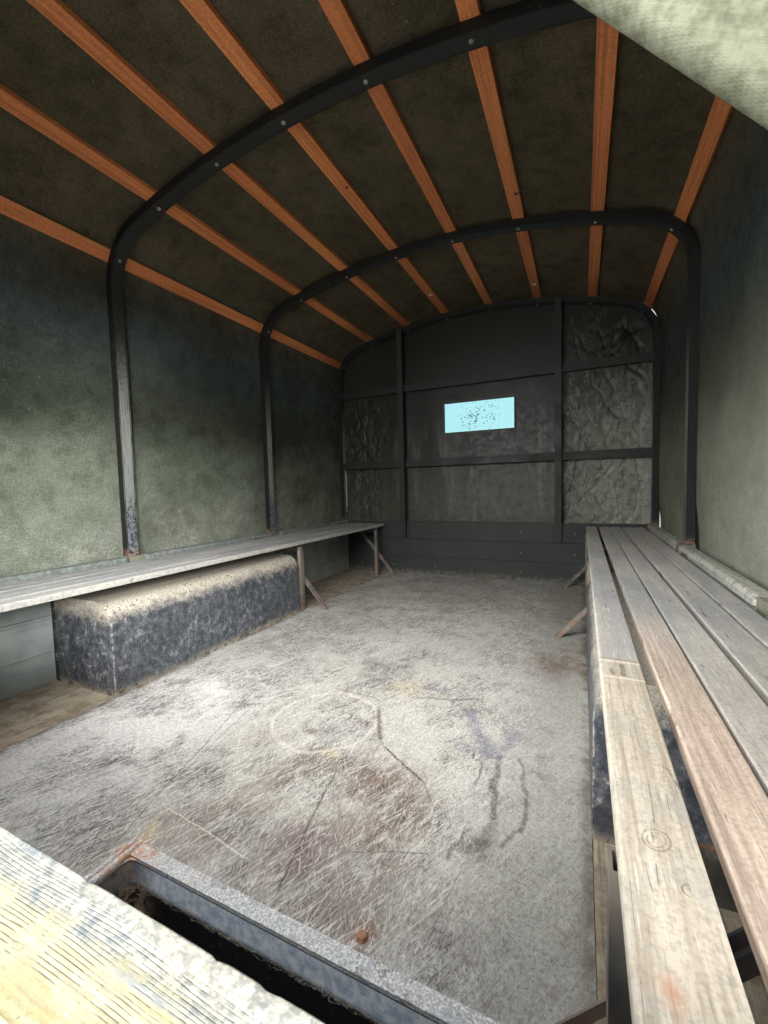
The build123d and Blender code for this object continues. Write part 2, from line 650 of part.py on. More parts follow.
def make_front_wall():
    inner = SOCKET_IN - SEAT
    pitch = (BOARD_TOP - HEADBOARD_LIFT) / BOARD_COUNT
    planks = []
    for i in range(BOARD_COUNT):
        low = HEADBOARD_LIFT + i * pitch
        z = (low, low + pitch - BOARD_GAP)
        planks.append(block((-inner, inner), (BED_LENGTH, BED_LENGTH + HEADBOARD_THICK), z))
    save("headboard", planks)
    stakes = []
    back = BED_LENGTH + HEADBOARD_THICK + SEAT
    for x in (-OUTER_STAKE_X, -FRONT_POST_X, FRONT_POST_X, OUTER_STAKE_X):
        span = (x - STAKE_WIDTH / 2, x + STAKE_WIDTH / 2)
        stake = block(span, (back, back + STAKE_DEPTH), (0, BOARD_TOP - BOARD_GAP))
        hollow_x = (span[0] + STAKE_WALL, span[1] - STAKE_WALL)
        hollow_y = (back + STAKE_WALL, back + 2 * STAKE_DEPTH)
        stake -= block(hollow_x, hollow_y, (-STAKE_WALL, BOARD_TOP))
        stakes.append(stake)
    save("headboard_stakes", stakes)

    posts = []
    front = HOOPS[-1] - HOOP_WIDE / 2 - SEAT
    plank_face = BED_LENGTH - SEAT
    z_top, _ = hoop_line(FRONT_POST_X)
    foot_low = BOARD_TOP - pitch + POST_FOOT_LIFT
    foot_z = (foot_low, BOARD_TOP - POST_FOOT_DROP)
    for x in (-FRONT_POST_X, FRONT_POST_X):
        span = (x - FRONT_POST_WIDTH / 2, x + FRONT_POST_WIDTH / 2)
        post = block(span, (front - FRONT_POST_DEPTH, front), (foot_low, z_top))
        foot_x = (span[0] - POST_FOOT_SIDE, span[1] + POST_FOOT_SIDE)
        posts.append(post + block(foot_x, (front - HINGE_OVERLAP, plank_face), foot_z))
    save("front_posts", posts)
    rails = []
    reach = HOOP_SPREAD / 2 - HOOP_DEEP / 2 - SEAT
    rail_y = (front + SEAT, front + SEAT + FRONT_RAIL_THICK)
    for z in FRONT_RAIL_HEIGHTS:
        rail_z = (z - FRONT_RAIL_TALL / 2, z + FRONT_RAIL_TALL / 2)
        rails.append(block((-reach, reach), rail_y, rail_z))
    save("front_rails", rails)


def make_tailgate():
    span = (-TAILGATE_HALF, TAILGATE_HALF)
    low = -BOARD_DROP + TAILGATE_LIFT
    cap_low = TAILGATE_TOP - TAILGATE_CAP_HEIGHT
    pitch = (cap_low - low) / BOARD_COUNT
    planks = []
    for i in range(BOARD_COUNT):
        z = (low + i * pitch, low + (i + 1) * pitch - BOARD_GAP)
        planks.append(block(span, (-TAILGATE_THICK, 0), z))
    save("tailgate_boards", planks)
    cap = block(span, (-TAILGATE_CAP_WIDTH, 0), (cap_low, TAILGATE_TOP))
    save("tailgate_cap", [fillet(cap.edges().filter_by(Axis.X), TAILGATE_CAP_ROUND)])

    outer = -TAILGATE_CAP_WIDTH - SEAT
    straps = []
    for place in TAILGATE_STRAPS:
        width = (place - STRAP_WIDTH / 2, place + STRAP_WIDTH / 2)
        strap = block(width, (outer - STRAP_HOOK_THICK, outer), (-HINGE_DROP, TAILGATE_TOP + SEAT))
        hook_y = (outer - STRAP_HOOK_THICK, STAKE_DEPTH - TAILGATE_CAP_WIDTH)
        strap += block(width, hook_y, (TAILGATE_TOP + SEAT, TAILGATE_TOP + STRAP_HOOK_THICK))
        packer_z = (low + PACKER_END, cap_low - PACKER_END)
        packer = block(width, (outer - HINGE_OVERLAP, -TAILGATE_THICK - SEAT), packer_z)
        eye = rod_x(HINGE_EYE, width, -HINGE_OUT, -HINGE_DROP)
        strap = strap + packer + eye
        strap -= rod_x(HINGE_PIN + PIN_FIT, width, -HINGE_OUT, -HINGE_DROP)
        straps.append(strap)
    save("tailgate_straps", straps)

    out = SOCKET_OUT + SEAT
    reach = (out, out + LATCH_THICK)
    swing = rod_x(LATCH_RADIUS, reach, LATCH_Y, LATCH_PIVOT_Z)
    bar_y = (LATCH_Y - LATCH_BAR / 2, LATCH_Y + LATCH_BAR / 2)
    swing += block((out + LATCH_RELIEF, reach[1]), bar_y, (LATCH_LOW, LATCH_PIVOT_Z))
    grip_y = (LATCH_Y - LATCH_GRIP_LONG / 2, LATCH_Y + LATCH_GRIP_LONG / 2)
    grip_top = LATCH_LOW + LATCH_BAR / 2
    swing += block((out, reach[1] + LATCH_RELIEF), grip_y, (grip_top - LATCH_GRIP_TALL, grip_top))
    save("tailgate_latches", [swing] + other_side([swing]))


def make_slats():
    slats = []
    x = BENCH_FRONT
    for width, gap in zip(SLAT_WIDTHS, (*SLAT_GAPS, 0)):
        slat = block(
            (x, x + width), (BENCH_REAR_END, BENCH_FRONT_END), (BENCH_TOP - SLAT_THICK, BENCH_TOP)
        )
        slats.append(fillet(slat.edges().filter_by(Axis.Y), SLAT_ROUND))
        x += width + gap
    save_pair("bench_slats", slats)


def bench_bearer(low, high, plate_y, pin_rear, pin_front):
    """A plate under the slats, with its half of the hinge and the pivots of the leg and strut."""
    front = BENCH_FRONT + BEARER_IN
    heel = BENCH_HINGE_X - BARREL_GAP
    neck = BENCH_BACK + BEARER_NECK
    outline = [
        (front, high), (front, low + BEARER_NOSE), (front + BEARER_NOSE, low),
        (BENCH_BACK - BEARER_HEEL, low), (heel, low + BEARER_HEEL), (heel, BENCH_HINGE_Z),
        (neck, BENCH_HINGE_Z), (neck, high),
    ]
    bearer = prism_y(outline, plate_y) + rod_y(BENCH_BARREL, BENCH_HINGE_X, plate_y, BENCH_HINGE_Z)
    bearer -= rod_y(BENCH_PIN + PIN_FIT, BENCH_HINGE_X, plate_y, BENCH_HINGE_Z)
    bearer += rod_y(PIVOT_PIN, LEG_PIVOT_X, (pin_rear, plate_y[0] + BARREL_GAP), PIVOT_Z)
    bearer += rod_y(PIVOT_PIN, STRUT_PIVOT_X, (plate_y[1] - BARREL_GAP, pin_front), PIVOT_Z)
    return bearer


def bench_bracket(low, plate_y):
    """The wall half of a bench hinge: a leaf, two lugs and the pin."""
    face = HALF_BED - SEAT
    leaf = face - LEAF_THICK
    heel = low + BEARER_HEEL
    leaf_y = (plate_y[0] - LEAF_SIDE, plate_y[1] + LEAF_SIDE)
    bracket = block((leaf, face), leaf_y, (low - LEAF_DOWN, low + LEAF_UP))
    lug_ends = LUG_GAP + LUG_THICK
    rear_lug = (plate_y[0] - lug_ends, plate_y[0] - LUG_GAP)
    front_lug = (plate_y[1] + LUG_GAP, plate_y[1] + lug_ends)
    for lug_y in (rear_lug, front_lug):
        arm = [
            (face, heel), (face, BENCH_HINGE_Z), (BENCH_HINGE_X, BENCH_HINGE_Z + BENCH_BARREL),
            (BENCH_HINGE_X, BENCH_HINGE_Z - BENCH_BARREL), (leaf, heel),
        ]
        bracket += prism_y(arm, lug_y) + rod_y(BENCH_BARREL, BENCH_HINGE_X, lug_y, BENCH_HINGE_Z)
    return bracket + rod_y(BENCH_PIN, BENCH_HINGE_X, (rear_lug[0], front_lug[1]), BENCH_HINGE_Z)


def bench_leg(leg_y):
    """A channel leg, hung on its pivot and standing on the floor."""
    top = PIVOT_Z + PIVOT_END
    leg = block((LEG_X, LEG_X + LEG_DEPTH), leg_y, (SEAT, top))
    hollow_y = (leg_y[0] + LEG_WALL, leg_y[1] - LEG_WALL)
    leg -= block((LEG_X + LEG_WALL, LEG_X + 2 * LEG_DEPTH), hollow_y, (LEG_WALL + SEAT, 2 * top))
    return leg - rod_y(PIVOT_PIN + PIN_FIT, LEG_PIVOT_X, leg_y, PIVOT_Z)


def bench_strut(strut_y):
    """A sloping channel strut from under the slats out to the floor."""
    run = STRUT_PIVOT_X - STRUT_FOOT_X
    length = math.hypot(run, PIVOT_Z)
    along = (run / length, PIVOT_Z / length)
    across = (-along[1], along[0])

    def place(down, off):
        """A point at a distance down the strut from its pivot, and off its middle line."""
        x = STRUT_PIVOT_X - down * along[0] + off * across[0]
        return x, PIVOT_Z - down * along[1] + off * across[1]

    def foot(off):
        """Where a line along the strut meets the floor."""
        x = STRUT_FOOT_X + off * across[0] - off * across[1] * run / PIVOT_Z
        return x + SEAT * run / PIVOT_Z, SEAT

    half = STRUT_DEPTH / 2
    outline = [foot(half), place(-STRUT_END, half), place(-STRUT_END, -half), foot(-half)]
    strut = prism_y(outline, strut_y)
    bottom = STRUT_WEB - half
    past = -STRUT_END - GROOVE_PAST
    start = length - GROOVE_START
    groove = [
        place(start, bottom), place(past, bottom), place(past, STRUT_DEPTH), place(start, STRUT_DEPTH),
    ]
    strut -= prism_y(groove, (strut_y[0] + STRUT_WALL, strut_y[1] - STRUT_WALL))
    return strut - rod_y(PIVOT_PIN + PIN_FIT, STRUT_PIVOT_X, strut_y, PIVOT_Z)


def make_bench_supports():
    high = BENCH_TOP - SLAT_THICK - SEAT
    low = high - BEARER_HEIGHT
    bearers = []
    brackets = []
    legs = []
    struts = []
    for y in SUPPORTS:
        plate_y = (y - BEARER_THICK / 2, y + BEARER_THICK / 2)
        leg_y = (plate_y[0] - RUN - LEG_WIDTH, plate_y[0] - RUN)
        strut_y = (plate_y[1] + RUN, plate_y[1] + RUN + STRUT_WIDTH)
        bearers.append(bench_bearer(low, high, plate_y, leg_y[0] - PIVOT_PROUD, strut_y[1] + PIVOT_PROUD))
        brackets.append(bench_bracket(low, plate_y))
        legs.append(bench_leg(leg_y))
        struts.append(bench_strut(strut_y))
    save_pair("bench_bearers", bearers)
    save_pair("bench_hinges", brackets)
    save_pair("bench_legs", legs)
    save_pair("bench_struts", struts)


make_under_structure()
make_rear_sill()
make_floor()
make_step_well()
make_wheel_arches()
make_sides()
make_hoops()
make_battens()
make_canvas()
make_front_wall()
make_tailgate()
make_slats()
make_bench_supports()
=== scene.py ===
# %% [markdown]
# # The covered cargo body of a light military truck
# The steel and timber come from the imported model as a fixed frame. This script gives them
# their worn finishes, sews the canvas cover, curtains and window as thin sheets, and sets
# the small fittings. Lengths are metres: X to the right-hand side, Y forward, Z up.

# %% Load the frame
import math

import bmesh
import bpy
from mathutils import Matrix, Vector, noise


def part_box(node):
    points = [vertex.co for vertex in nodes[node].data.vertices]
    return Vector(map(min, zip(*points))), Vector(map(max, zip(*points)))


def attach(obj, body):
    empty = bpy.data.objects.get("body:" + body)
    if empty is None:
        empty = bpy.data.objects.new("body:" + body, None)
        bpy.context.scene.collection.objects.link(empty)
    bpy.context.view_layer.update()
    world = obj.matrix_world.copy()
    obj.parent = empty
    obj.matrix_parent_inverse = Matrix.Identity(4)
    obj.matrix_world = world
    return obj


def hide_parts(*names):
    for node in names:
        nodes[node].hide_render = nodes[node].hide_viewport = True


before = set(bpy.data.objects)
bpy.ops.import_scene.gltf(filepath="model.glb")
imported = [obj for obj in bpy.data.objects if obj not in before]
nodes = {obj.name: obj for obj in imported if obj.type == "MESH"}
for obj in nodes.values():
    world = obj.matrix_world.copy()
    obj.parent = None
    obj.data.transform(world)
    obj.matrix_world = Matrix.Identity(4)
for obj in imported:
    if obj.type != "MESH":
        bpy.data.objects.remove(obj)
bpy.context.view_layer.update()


def add_object(name, data):
    """A new object in the scene, at the origin."""
    made = bpy.data.objects.new(name, data)
    bpy.context.collection.objects.link(made)
    return made


# %% [markdown]
# Places are read from the frame, so that a piece made here lands on the steel that carries
# it. The load floor's top, the tailgate's inner face and the hoops are what the rest is
# measured from.

# %% Places read from the frame
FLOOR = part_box("floor_centre")[1].z
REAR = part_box("tailgate_boards")[1].y
HOOP_BOXES = [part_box(f"hoop_{i}") for i in range(1, 5)]
HOOPS = [(low.y + high.y) / 2 for low, high in HOOP_BOXES]
TUBE_DEEP = 0.030
HALF_SPREAD = HOOP_BOXES[1][1].x - TUBE_DEEP / 2
CROWN = HOOP_BOXES[1][1].z - TUBE_DEEP / 2
ROOF_RADIUS = 3.160
BEND_RADIUS = 0.225
print("floor", round(FLOOR, 4), "hoops at", [round(y, 3) for y in HOOPS], "crown", round(CROWN, 3))

# %% [markdown]
# The camera stands just behind the tailgate, a little right of the middle, and looks
# forward and to the left with a very wide lens, as a phone held over the tailgate does.
# The frame is 768 by 1024 pixels, and the focal length is given in those pixels.

# %% Camera
IMAGE_TALL = 1024
FOCAL_PIXELS = 422.874
CAMERA_PLACE = Vector((0.6689, -1.5215, 0.9015))
YAW, PITCH, ROLL = 0.438083, -0.061397, -0.025422
SENSOR = 36.0


def camera_axes():
    """The camera's right, up and forward directions from its yaw, pitch and roll."""
    forward = Vector((-math.sin(YAW) * math.cos(PITCH), math.cos(YAW) * math.cos(PITCH), math.sin(PITCH)))
    right = forward.cross(Vector((0, 0, 1))).normalized()
    up = right.cross(forward)
    turned_right = right * math.cos(ROLL) + up * math.sin(ROLL)
    turned_up = up * math.cos(ROLL) - right * math.sin(ROLL)
    return turned_right, turned_up, forward


def aim(thing, right, up, forward):
    """Turn a camera or lamp, which looks along its own -Z."""
    rows = [[right[i], up[i], -forward[i]] for i in range(3)]
    thing.rotation_euler = Matrix(rows).to_euler()


camera_data = bpy.data.cameras.new("camera")
camera_data.sensor_fit = "AUTO"
camera_data.sensor_width = SENSOR
camera_data.lens = FOCAL_PIXELS / IMAGE_TALL * SENSOR
camera_data.clip_start = 0.01
camera = add_object("camera", camera_data)
camera.location = CAMERA_PLACE
aim(camera, *camera_axes())
bpy.context.scene.camera = camera
print("lens", round(camera_data.lens, 3), "mm")

# %% [markdown]
# A plain pale floor and soft lamps. The strongest lamp stands high behind the open end, so
# its light passes under the rear hoop and falls on the floor, the benches and the lower
# canvas, while the roof stays dark, as daylight does here. A wide soft panel in the open
# end stands for the rest of the sky, and dim panels light the outside from every side.

# %% Studio
bpy.context.scene.view_settings.view_transform = "Standard"


def softbox(name, place, target, width, height, watts):
    """A rectangular lamp that looks at a target and isn't seen itself."""
    data = bpy.data.lights.new(name, "AREA")
    data.shape = "RECTANGLE"
    data.size = width
    data.size_y = height
    data.energy = watts
    lamp = add_object(name, data)
    lamp.location = place
    forward = (Vector(target) - Vector(place)).normalized()
    lamp.rotation_euler = forward.to_track_quat("-Z", "Y").to_euler()
    lamp.visible_camera = False
    return lamp


softbox("sky_behind", (0.3, -9.0, 4.9), (0.0, 0.0, 0.6), 9.0, 4.6, 1500)
softbox("sky_right", (6.2, -6.4, 3.0), (-1.0, 0.0, 0.70), 3.4, 2.0, 1500)
softbox("sky_left", (-6.2, -6.4, 3.0), (1.0, 0.0, 0.70), 3.4, 2.0, 1100)
opening = softbox("open_end", (0.0, REAR + 0.12, 1.45), (0.0, 0.10, 0.30), 1.0, 0.28, 17)
opening.data.spread = math.radians(125)
softbox("overhead", (0.0, 0.0, 5.6), (0.0, 0.0, 2.0), 4.0, 4.0, 110)
softbox("left_side", (-5.2, 0.8, 2.4), (0.0, 0.0, 1.0), 3.0, 2.0, 110)
softbox("right_side", (5.2, 0.8, 2.4), (0.0, 0.0, 1.0), 3.0, 2.0, 110)
softbox("front_side", (0.5, 6.0, 2.4), (0.0, 0.0, 1.0), 3.0, 2.0, 160)

world = bpy.data.worlds.new("studio")
bpy.context.scene.world = world
world.use_nodes = True
world_nodes = world.node_tree.nodes
world_nodes.clear()
room = world_nodes.new("ShaderNodeBackground")
room.inputs["Color"].default_value = (0.92, 0.96, 1.0, 1.0)
room.inputs["Strength"].default_value = 0.45
backdrop = world_nodes.new("ShaderNodeBackground")
backdrop.inputs["Color"].default_value = (1.0, 1.0, 1.0, 1.0)
rays = world_nodes.new("ShaderNodeLightPath")
chosen = world_nodes.new("ShaderNodeMixShader")
world_out = world_nodes.new("ShaderNodeOutputWorld")
join = world.node_tree.links.new
seen = rays.outputs["Is Camera Ray"]
for ray in ("Is Glossy Ray", "Is Transmission Ray"):
    either = world_nodes.new("ShaderNodeMath")
    either.operation = "MAXIMUM"
    join(seen, either.inputs[0])
    join(rays.outputs[ray], either.inputs[1])
    seen = either.outputs[0]
join(seen, chosen.inputs[0])
join(room.outputs[0], chosen.inputs[1])
join(backdrop.outputs[0], chosen.inputs[2])
join(chosen.outputs[0], world_out.inputs["Surface"])

# %% [markdown]
# Every finish below is a small network of shader nodes: patches, streaks, grain and wear
# are noise at different scales, mixed by masks. A helper class keeps each recipe short. It
# reads the object's own coordinates, which are metres here, so a scale of 100 gives spots
# of about a centimetre.

# %% A helper for finishes
def screen(red, green, blue):
    """A colour written as a screen shows it, 0 to 255, turned into the linear value that shaders use."""
    def line(value):
        share = value / 255
        return share / 12.92 if share <= 0.04045 else ((share + 0.055) / 1.055) ** 2.4
    return line(red), line(green), line(blue), 1.0


FINEST = 900  # spots to the metre; what is finer than a millimetre doesn't show


class Finish:
    """One material in the making. Each method adds nodes and hands back an output."""

    def __init__(self, name):
        self.material = bpy.data.materials.new(name)
        self.material.use_nodes = True
        self.tree = self.material.node_tree
        self.tree.nodes.clear()
        self.coordinates = self.node("ShaderNodeTexCoord")
        self.place = self.coordinates.outputs["Object"]
        self.stretch = {}  # how much each stretched place is stretched, by its node's name
        self.x, self.y, self.z = self.node("ShaderNodeSeparateXYZ", {0: self.place}).outputs

    def node(self, kind, inputs=None, **settings):
        made = self.tree.nodes.new(kind)
        for key, value in settings.items():
            setattr(made, key, value)
        for key, value in (inputs or {}).items():
            self.feed(made.inputs[key], value)
        return made

    def feed(self, socket, value):
        """Link a socket, or set it. Three numbers on a colour socket are a colour as a screen shows it."""
        if isinstance(value, bpy.types.NodeSocket):
            self.tree.links.new(value, socket)
        elif socket.type == "RGBA" and len(value) == 3:
            socket.default_value = screen(*value)
        else:
            socket.default_value = value

    def math(self, operation, *values):
        return self.node("ShaderNodeMath", dict(enumerate(values)), operation=operation).outputs[0]

    def vector(self, operation, *values):
        return self.node("ShaderNodeVectorMath", dict(enumerate(values)), operation=operation).outputs[0]

    def measure(self, operation, *values):
        made = self.node("ShaderNodeVectorMath", dict(enumerate(values)), operation=operation)
        return made.outputs["Value"]

    def turned(self, angle=0.0, scale=(1, 1, 1), shift=(0, 0, 0), vector=None):
        """Coordinates turned about the vertical, then stretched."""
        source = self.place if vector is None else vector
        if angle:
            inputs = {"Vector": source, "Rotation": (0, 0, angle)}
            source = self.node("ShaderNodeMapping", inputs).outputs[0]
        moved = tuple(s * k for s, k in zip(shift, scale))
        result = self.vector("MULTIPLY_ADD", source, scale, moved)
        self.stretch[result.node.name] = max(scale)
        return result

    def noise(self, scale, detail=3.0, rough=0.55, vector=None, warp=0.0):
        """Noise from 0 to 1. Layers finer than FINEST are left out, and the rest keep their share."""
        place = self.place if vector is None else vector
        widest = scale * self.stretch.get(place.node.name, 1.0)
        kept = min(detail, max(0.0, math.floor(math.log2(FINEST / widest))))
        inputs = {"Scale": scale, "Detail": kept, "Roughness": rough, "Distortion": warp, "Vector": place}
        value = self.node("ShaderNodeTexNoise", inputs, normalize=kept == detail).outputs["Fac"]
        if kept == detail:
            return value
        whole = sum(rough ** k for k in range(int(detail) + 1))
        return self.math("MULTIPLY_ADD", value, 0.5 / whole, 0.5)

    def between(self, value, low, high, least=0.0, most=1.0):
        """Smoothly from least to most as value goes from low to high."""
        inputs = {"Value": value, "From Min": low, "From Max": high, "To Min": least, "To Max": most}
        return self.node("ShaderNodeMapRange", inputs, interpolation_type="SMOOTHSTEP").outputs[0]

    def wander(self, value, width):
        """A value from 0 to 1 as a shift to both sides of zero, as wide as width in all."""
        return self.math("MULTIPLY_ADD", value, width, -width / 2)

    def under(self, value, low, high):
        """1 while the value is under low, and smoothly down to 0 at high."""
        return self.between(value, low, high, 1.0, 0.0)

    def start(self, share, first, second):
        """The first coat: two colours, mixed by a share or mask."""
        self.colour = self.mix(share, first, second)

    def lay(self, tint, *masks, blend="MIX"):
        """One more coat: a tint laid over the colour so far, where all the masks say so."""
        self.colour = self.mix(self.both(*masks), self.colour, tint, blend)

    def mix(self, share, first, second, blend="MIX"):
        made = self.node("ShaderNodeMix", data_type="RGBA", blend_type=blend)
        self.feed(made.inputs[0], share)
        self.feed(made.inputs[6], first)
        self.feed(made.inputs[7], second)
        return made.outputs[2]

    def both(self, *masks):
        result = masks[0]
        for mask in masks[1:]:
            result = self.math("MULTIPLY", result, mask)
        return result

    def less(self, mask):
        return self.math("SUBTRACT", 1.0, mask)

    def bump(self, height, depth):
        inputs = {"Height": height, "Distance": depth, "Strength": 1.0}
        return self.node("ShaderNodeBump", inputs).outputs[0]

    def strokes(self, angle, across, along, thin, shift=0.0, vector=None, detail=3.0):
        """Thin crisp strokes that mostly lie one way: the level lines of a squeezed noise."""
        place = self.turned(angle, (across, along, 1), (shift, shift, 0), vector)
        level = self.noise(1.0, detail, 0.6, place)
        off = self.math("ABSOLUTE", self.math("SUBTRACT", level, 0.5))
        return self.under(off, 0.3 * thin, thin)

    def warped(self, *sizes):
        """Coordinates pushed about by noise, so that marks get a natural outline."""
        place = self.place
        for scale, reach in sizes:
            inputs = {"Scale": scale, "Detail": 3.0, "Vector": self.place}
            wave = self.node("ShaderNodeTexNoise", inputs).outputs["Color"]
            shift = self.vector("SUBTRACT", wave, (0.5, 0.5, 0.5))
            place = self.vector("MULTIPLY_ADD", shift, (2 * reach, 2 * reach, 0), place)
        return place

    def patch(self, centre, radius, soft, squash=1.0, angle=0.0, place=None):
        """A mask that is 1 within a round or oval patch of the floor."""
        moved = self.vector("SUBTRACT", self.place if place is None else place, (*centre, 0))
        far = self.measure("LENGTH", self.turned(angle, (1, squash, 0), vector=moved))
        return self.under(far, radius - soft, radius + soft)

    def line(self, start, end, width, place=None):
        """A mask that is 1 on a thin line between two places on the floor."""
        place = self.place if place is None else place
        start, end = Vector((*start, 0)), Vector((*end, 0))
        length = (end - start).length
        along = (end - start) / length
        across = Vector((-along.y, along.x, 0))
        off = self.math("SUBTRACT", self.measure("DOT_PRODUCT", place, across), start.dot(across))
        run = self.math("SUBTRACT", self.measure("DOT_PRODUCT", place, along), start.dot(along))
        thin = self.under(self.math("ABSOLUTE", off), 0.15 * width, width)
        middle = self.math("ABSOLUTE", self.math("SUBTRACT", run, length / 2))
        return self.both(thin, self.under(middle, 0.38 * length, 0.5 * length))

    def close(self, rough, normal=None, through=0.0, **constants):
        """The finished material: a principled surface, with some light let through on thin cloth."""
        surface = self.node("ShaderNodeBsdfPrincipled")
        self.feed(surface.inputs["Base Color"], self.colour)
        self.feed(surface.inputs["Roughness"], rough)
        if normal is not None:
            self.feed(surface.inputs["Normal"], normal)
        for key, value in constants.items():
            self.feed(surface.inputs[key.replace("_", " ")], value)
        last = surface.outputs[0]
        if through:
            glow = self.node("ShaderNodeBsdfTranslucent", {"Color": self.colour})
            last = self.node("ShaderNodeMixShader", {0: through, 1: last, 2: glow.outputs[0]}).outputs[0]
        out = self.node("ShaderNodeOutputMaterial")
        self.tree.links.new(last, out.inputs["Surface"])
        return self.material


def dress(material, *names):
    """Give CAD nodes their finish."""
    for name in names:
        mesh = nodes[name].data
        mesh.materials.clear()
        mesh.materials.append(material)


print("white as a shader sees it:", screen(255, 255, 255))

# %% [markdown]
# ## Steel
# The hoops are square tube under old near-black paint. Boots, canvas and hands have
# scuffed the flat of each leg to bare grey, while the edges stay dark but for a thin pale line along
# each corner low down, which is a painted highlight. A mask on the distance from each hoop's own middle
# line gives that band, and noise breaks it up.

# %% Hoop paint
HOOP_PITCH = HOOPS[1] - HOOPS[0]


def make_hoop_paint():
    f = Finish("hoop_paint")
    from_hoop = f.math("WRAP", f.y, HOOPS[0] + HOOP_PITCH / 2, HOOPS[0] - HOOP_PITCH / 2)
    off_middle = f.math("ABSOLUTE", f.math("SUBTRACT", from_hoop, HOOPS[0]))
    grain = f.noise(1.0, 5.0, 0.66, f.turned(scale=(260, 260, 14)))
    spots = f.noise(70.0, 7.0, 0.78)
    flat = f.under(off_middle, 0.0190, 0.0205)
    height = f.math("ADD", f.z, f.wander(spots, 0.5))
    low = f.between(height, CROWN - 0.95, CROWN - 0.48, 1.0, 0.06)
    scuffed = f.both(flat, low, f.between(grain, 0.30, 0.50))
    f.start(scuffed, (26, 26, 25), (126, 129, 122))
    # Painted highlight: a thin pale line on each corner of the tube, low down, where the light catches it.
    rim = f.both(f.between(off_middle, 0.0222, 0.0230), f.between(off_middle, 0.0246, 0.0240), low)
    f.lay((140, 140, 130), rim, f.between(grain, 0.42, 0.52), 0.8)
    f.lay((104, 100, 92), f.between(spots, 0.60, 0.66), 0.5)
    foot = f.both(f.under(height, FLOOR + 0.54, FLOOR + 0.66), flat)
    blotched = f.mix(f.between(spots, 0.42, 0.58), (30, 32, 40), (112, 114, 120))
    f.lay(blotched, foot, 0.9)
    rusty = f.both(f.under(f.z, FLOOR + 0.38, FLOOR + 0.43), f.between(spots, 0.44, 0.56))
    f.lay((156, 118, 94), rusty)
    # Painted light: a pale line on hoop 4's edge by the left wall stands for daylight through a slit there.
    painted_light_slit = f.both(
        f.between(f.x, -1.0, -1.01), f.between(f.y, HOOPS[3] + 0.004, HOOPS[3] + 0.007),
        f.between(height, FLOOR + 0.46, FLOOR + 0.50), f.between(height, FLOOR + 0.80, FLOOR + 0.76),
    )
    f.lay((222, 226, 220), painted_light_slit)
    normal = f.bump(f.math("ADD", spots, grain), 0.0005)
    return f.close(f.between(spots, 0.3, 0.7, 0.45, 0.75), normal, Specular_IOR_Level=0.35)


dress(make_hoop_paint(), "hoop_1", "hoop_2", "hoop_3", "hoop_4")

# %% [markdown]
# Olive drab paint covers the fittings. Rain, dust and knocks change it: dust lies in the
# hollows as a paler tint, and chips show rust-brown primer. The same recipe serves the
# under-frame, which is darker and dustier.

# %% Olive and under-frame paint
def make_drab(name, tint, dust, chips, chip_share):
    f = Finish(name)
    broad = f.noise(7.0, 6.0, 0.68)
    spots = f.noise(60.0, 6.0, 0.76)
    runs = f.noise(1.0, 3.0, 0.6, f.turned(scale=(40, 40, 3)))
    f.start(f.between(broad, 0.35, 0.7), tint, dust)
    f.lay(dust, f.between(f.noise(190.0, 4.0, 0.75), 0.45, 0.62, 0.0, 0.5))
    f.lay(dust, f.between(runs, 0.55, 0.8), 0.35)
    f.lay(chips, f.between(spots, chip_share, chip_share + 0.05))
    normal = f.bump(spots, 0.0005)
    return f.close(f.between(broad, 0.3, 0.7, 0.5, 0.75), normal)


olive_paint = make_drab("olive_paint", (84, 88, 72), (122, 120, 104), (104, 66, 44), 0.64)
under_paint = make_drab("under_paint", (66, 68, 58), (108, 102, 88), (92, 58, 40), 0.62)
post_paint = make_drab("post_paint", (20, 21, 21), (38, 38, 35), (84, 76, 66), 0.66)
dress(
    olive_paint, "edge_rails", "side_board_straps", "hoop_sockets", "rear_corner_posts", "headboard_stakes",
    "tailgate_straps", "tailgate_latches",
)
dress(make_drab("bearer_paint", (46, 48, 46), (88, 82, 72), (124, 78, 54), 0.56),
      "bench_bearers_left", "bench_bearers_right", "bench_hinges_left", "bench_hinges_right")
dress(under_paint, "sills", "cross_members", "rear_sill")
dress(post_paint, "front_posts", "front_rails")

# %% Bench legs and hinge pins
def make_leg_paint():
    f = Finish("leg_paint")
    spots = f.noise(40.0, 6.0, 0.7)
    broad = f.noise(8.0, 3.0)
    f.start(f.between(broad, 0.4, 0.6), (70, 73, 78), (116, 110, 100))
    low = f.between(f.z, FLOOR + 0.02, FLOOR + 0.20, 0.8, 0.25)
    f.lay((118, 86, 66), low, f.between(spots, 0.42, 0.58))
    return f.close(0.62, f.bump(spots, 0.0006))


def make_pin_steel():
    f = Finish("pin_steel")
    spots = f.noise(90.0, 5.0, 0.7)
    f.start(f.between(spots, 0.45, 0.65), (150, 146, 138), (104, 72, 52))
    return f.close(f.between(spots, 0.4, 0.7, 0.35, 0.8), f.bump(spots, 0.0003), Metallic=0.7)


dress(make_leg_paint(), "bench_legs_left", "bench_legs_right", "bench_struts_left", "bench_struts_right")
pin_steel = make_pin_steel()
dress(pin_steel, "tailgate_hinge_pins")

# %% [markdown]
# The wheel arches are pressed sheet under black paint. Dust settles on the flat top and
# the rounded shoulder as a tan film, and boots have scraped the sharp upright corner and
# the face. The film is a mask on height, broken by noise.

# %% Wheel arch paint
ARCH_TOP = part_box("wheel_arch_left")[1].z
ARCH_FACE = -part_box("wheel_arch_left")[1].x
ARCH_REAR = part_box("wheel_arch_left")[0].y


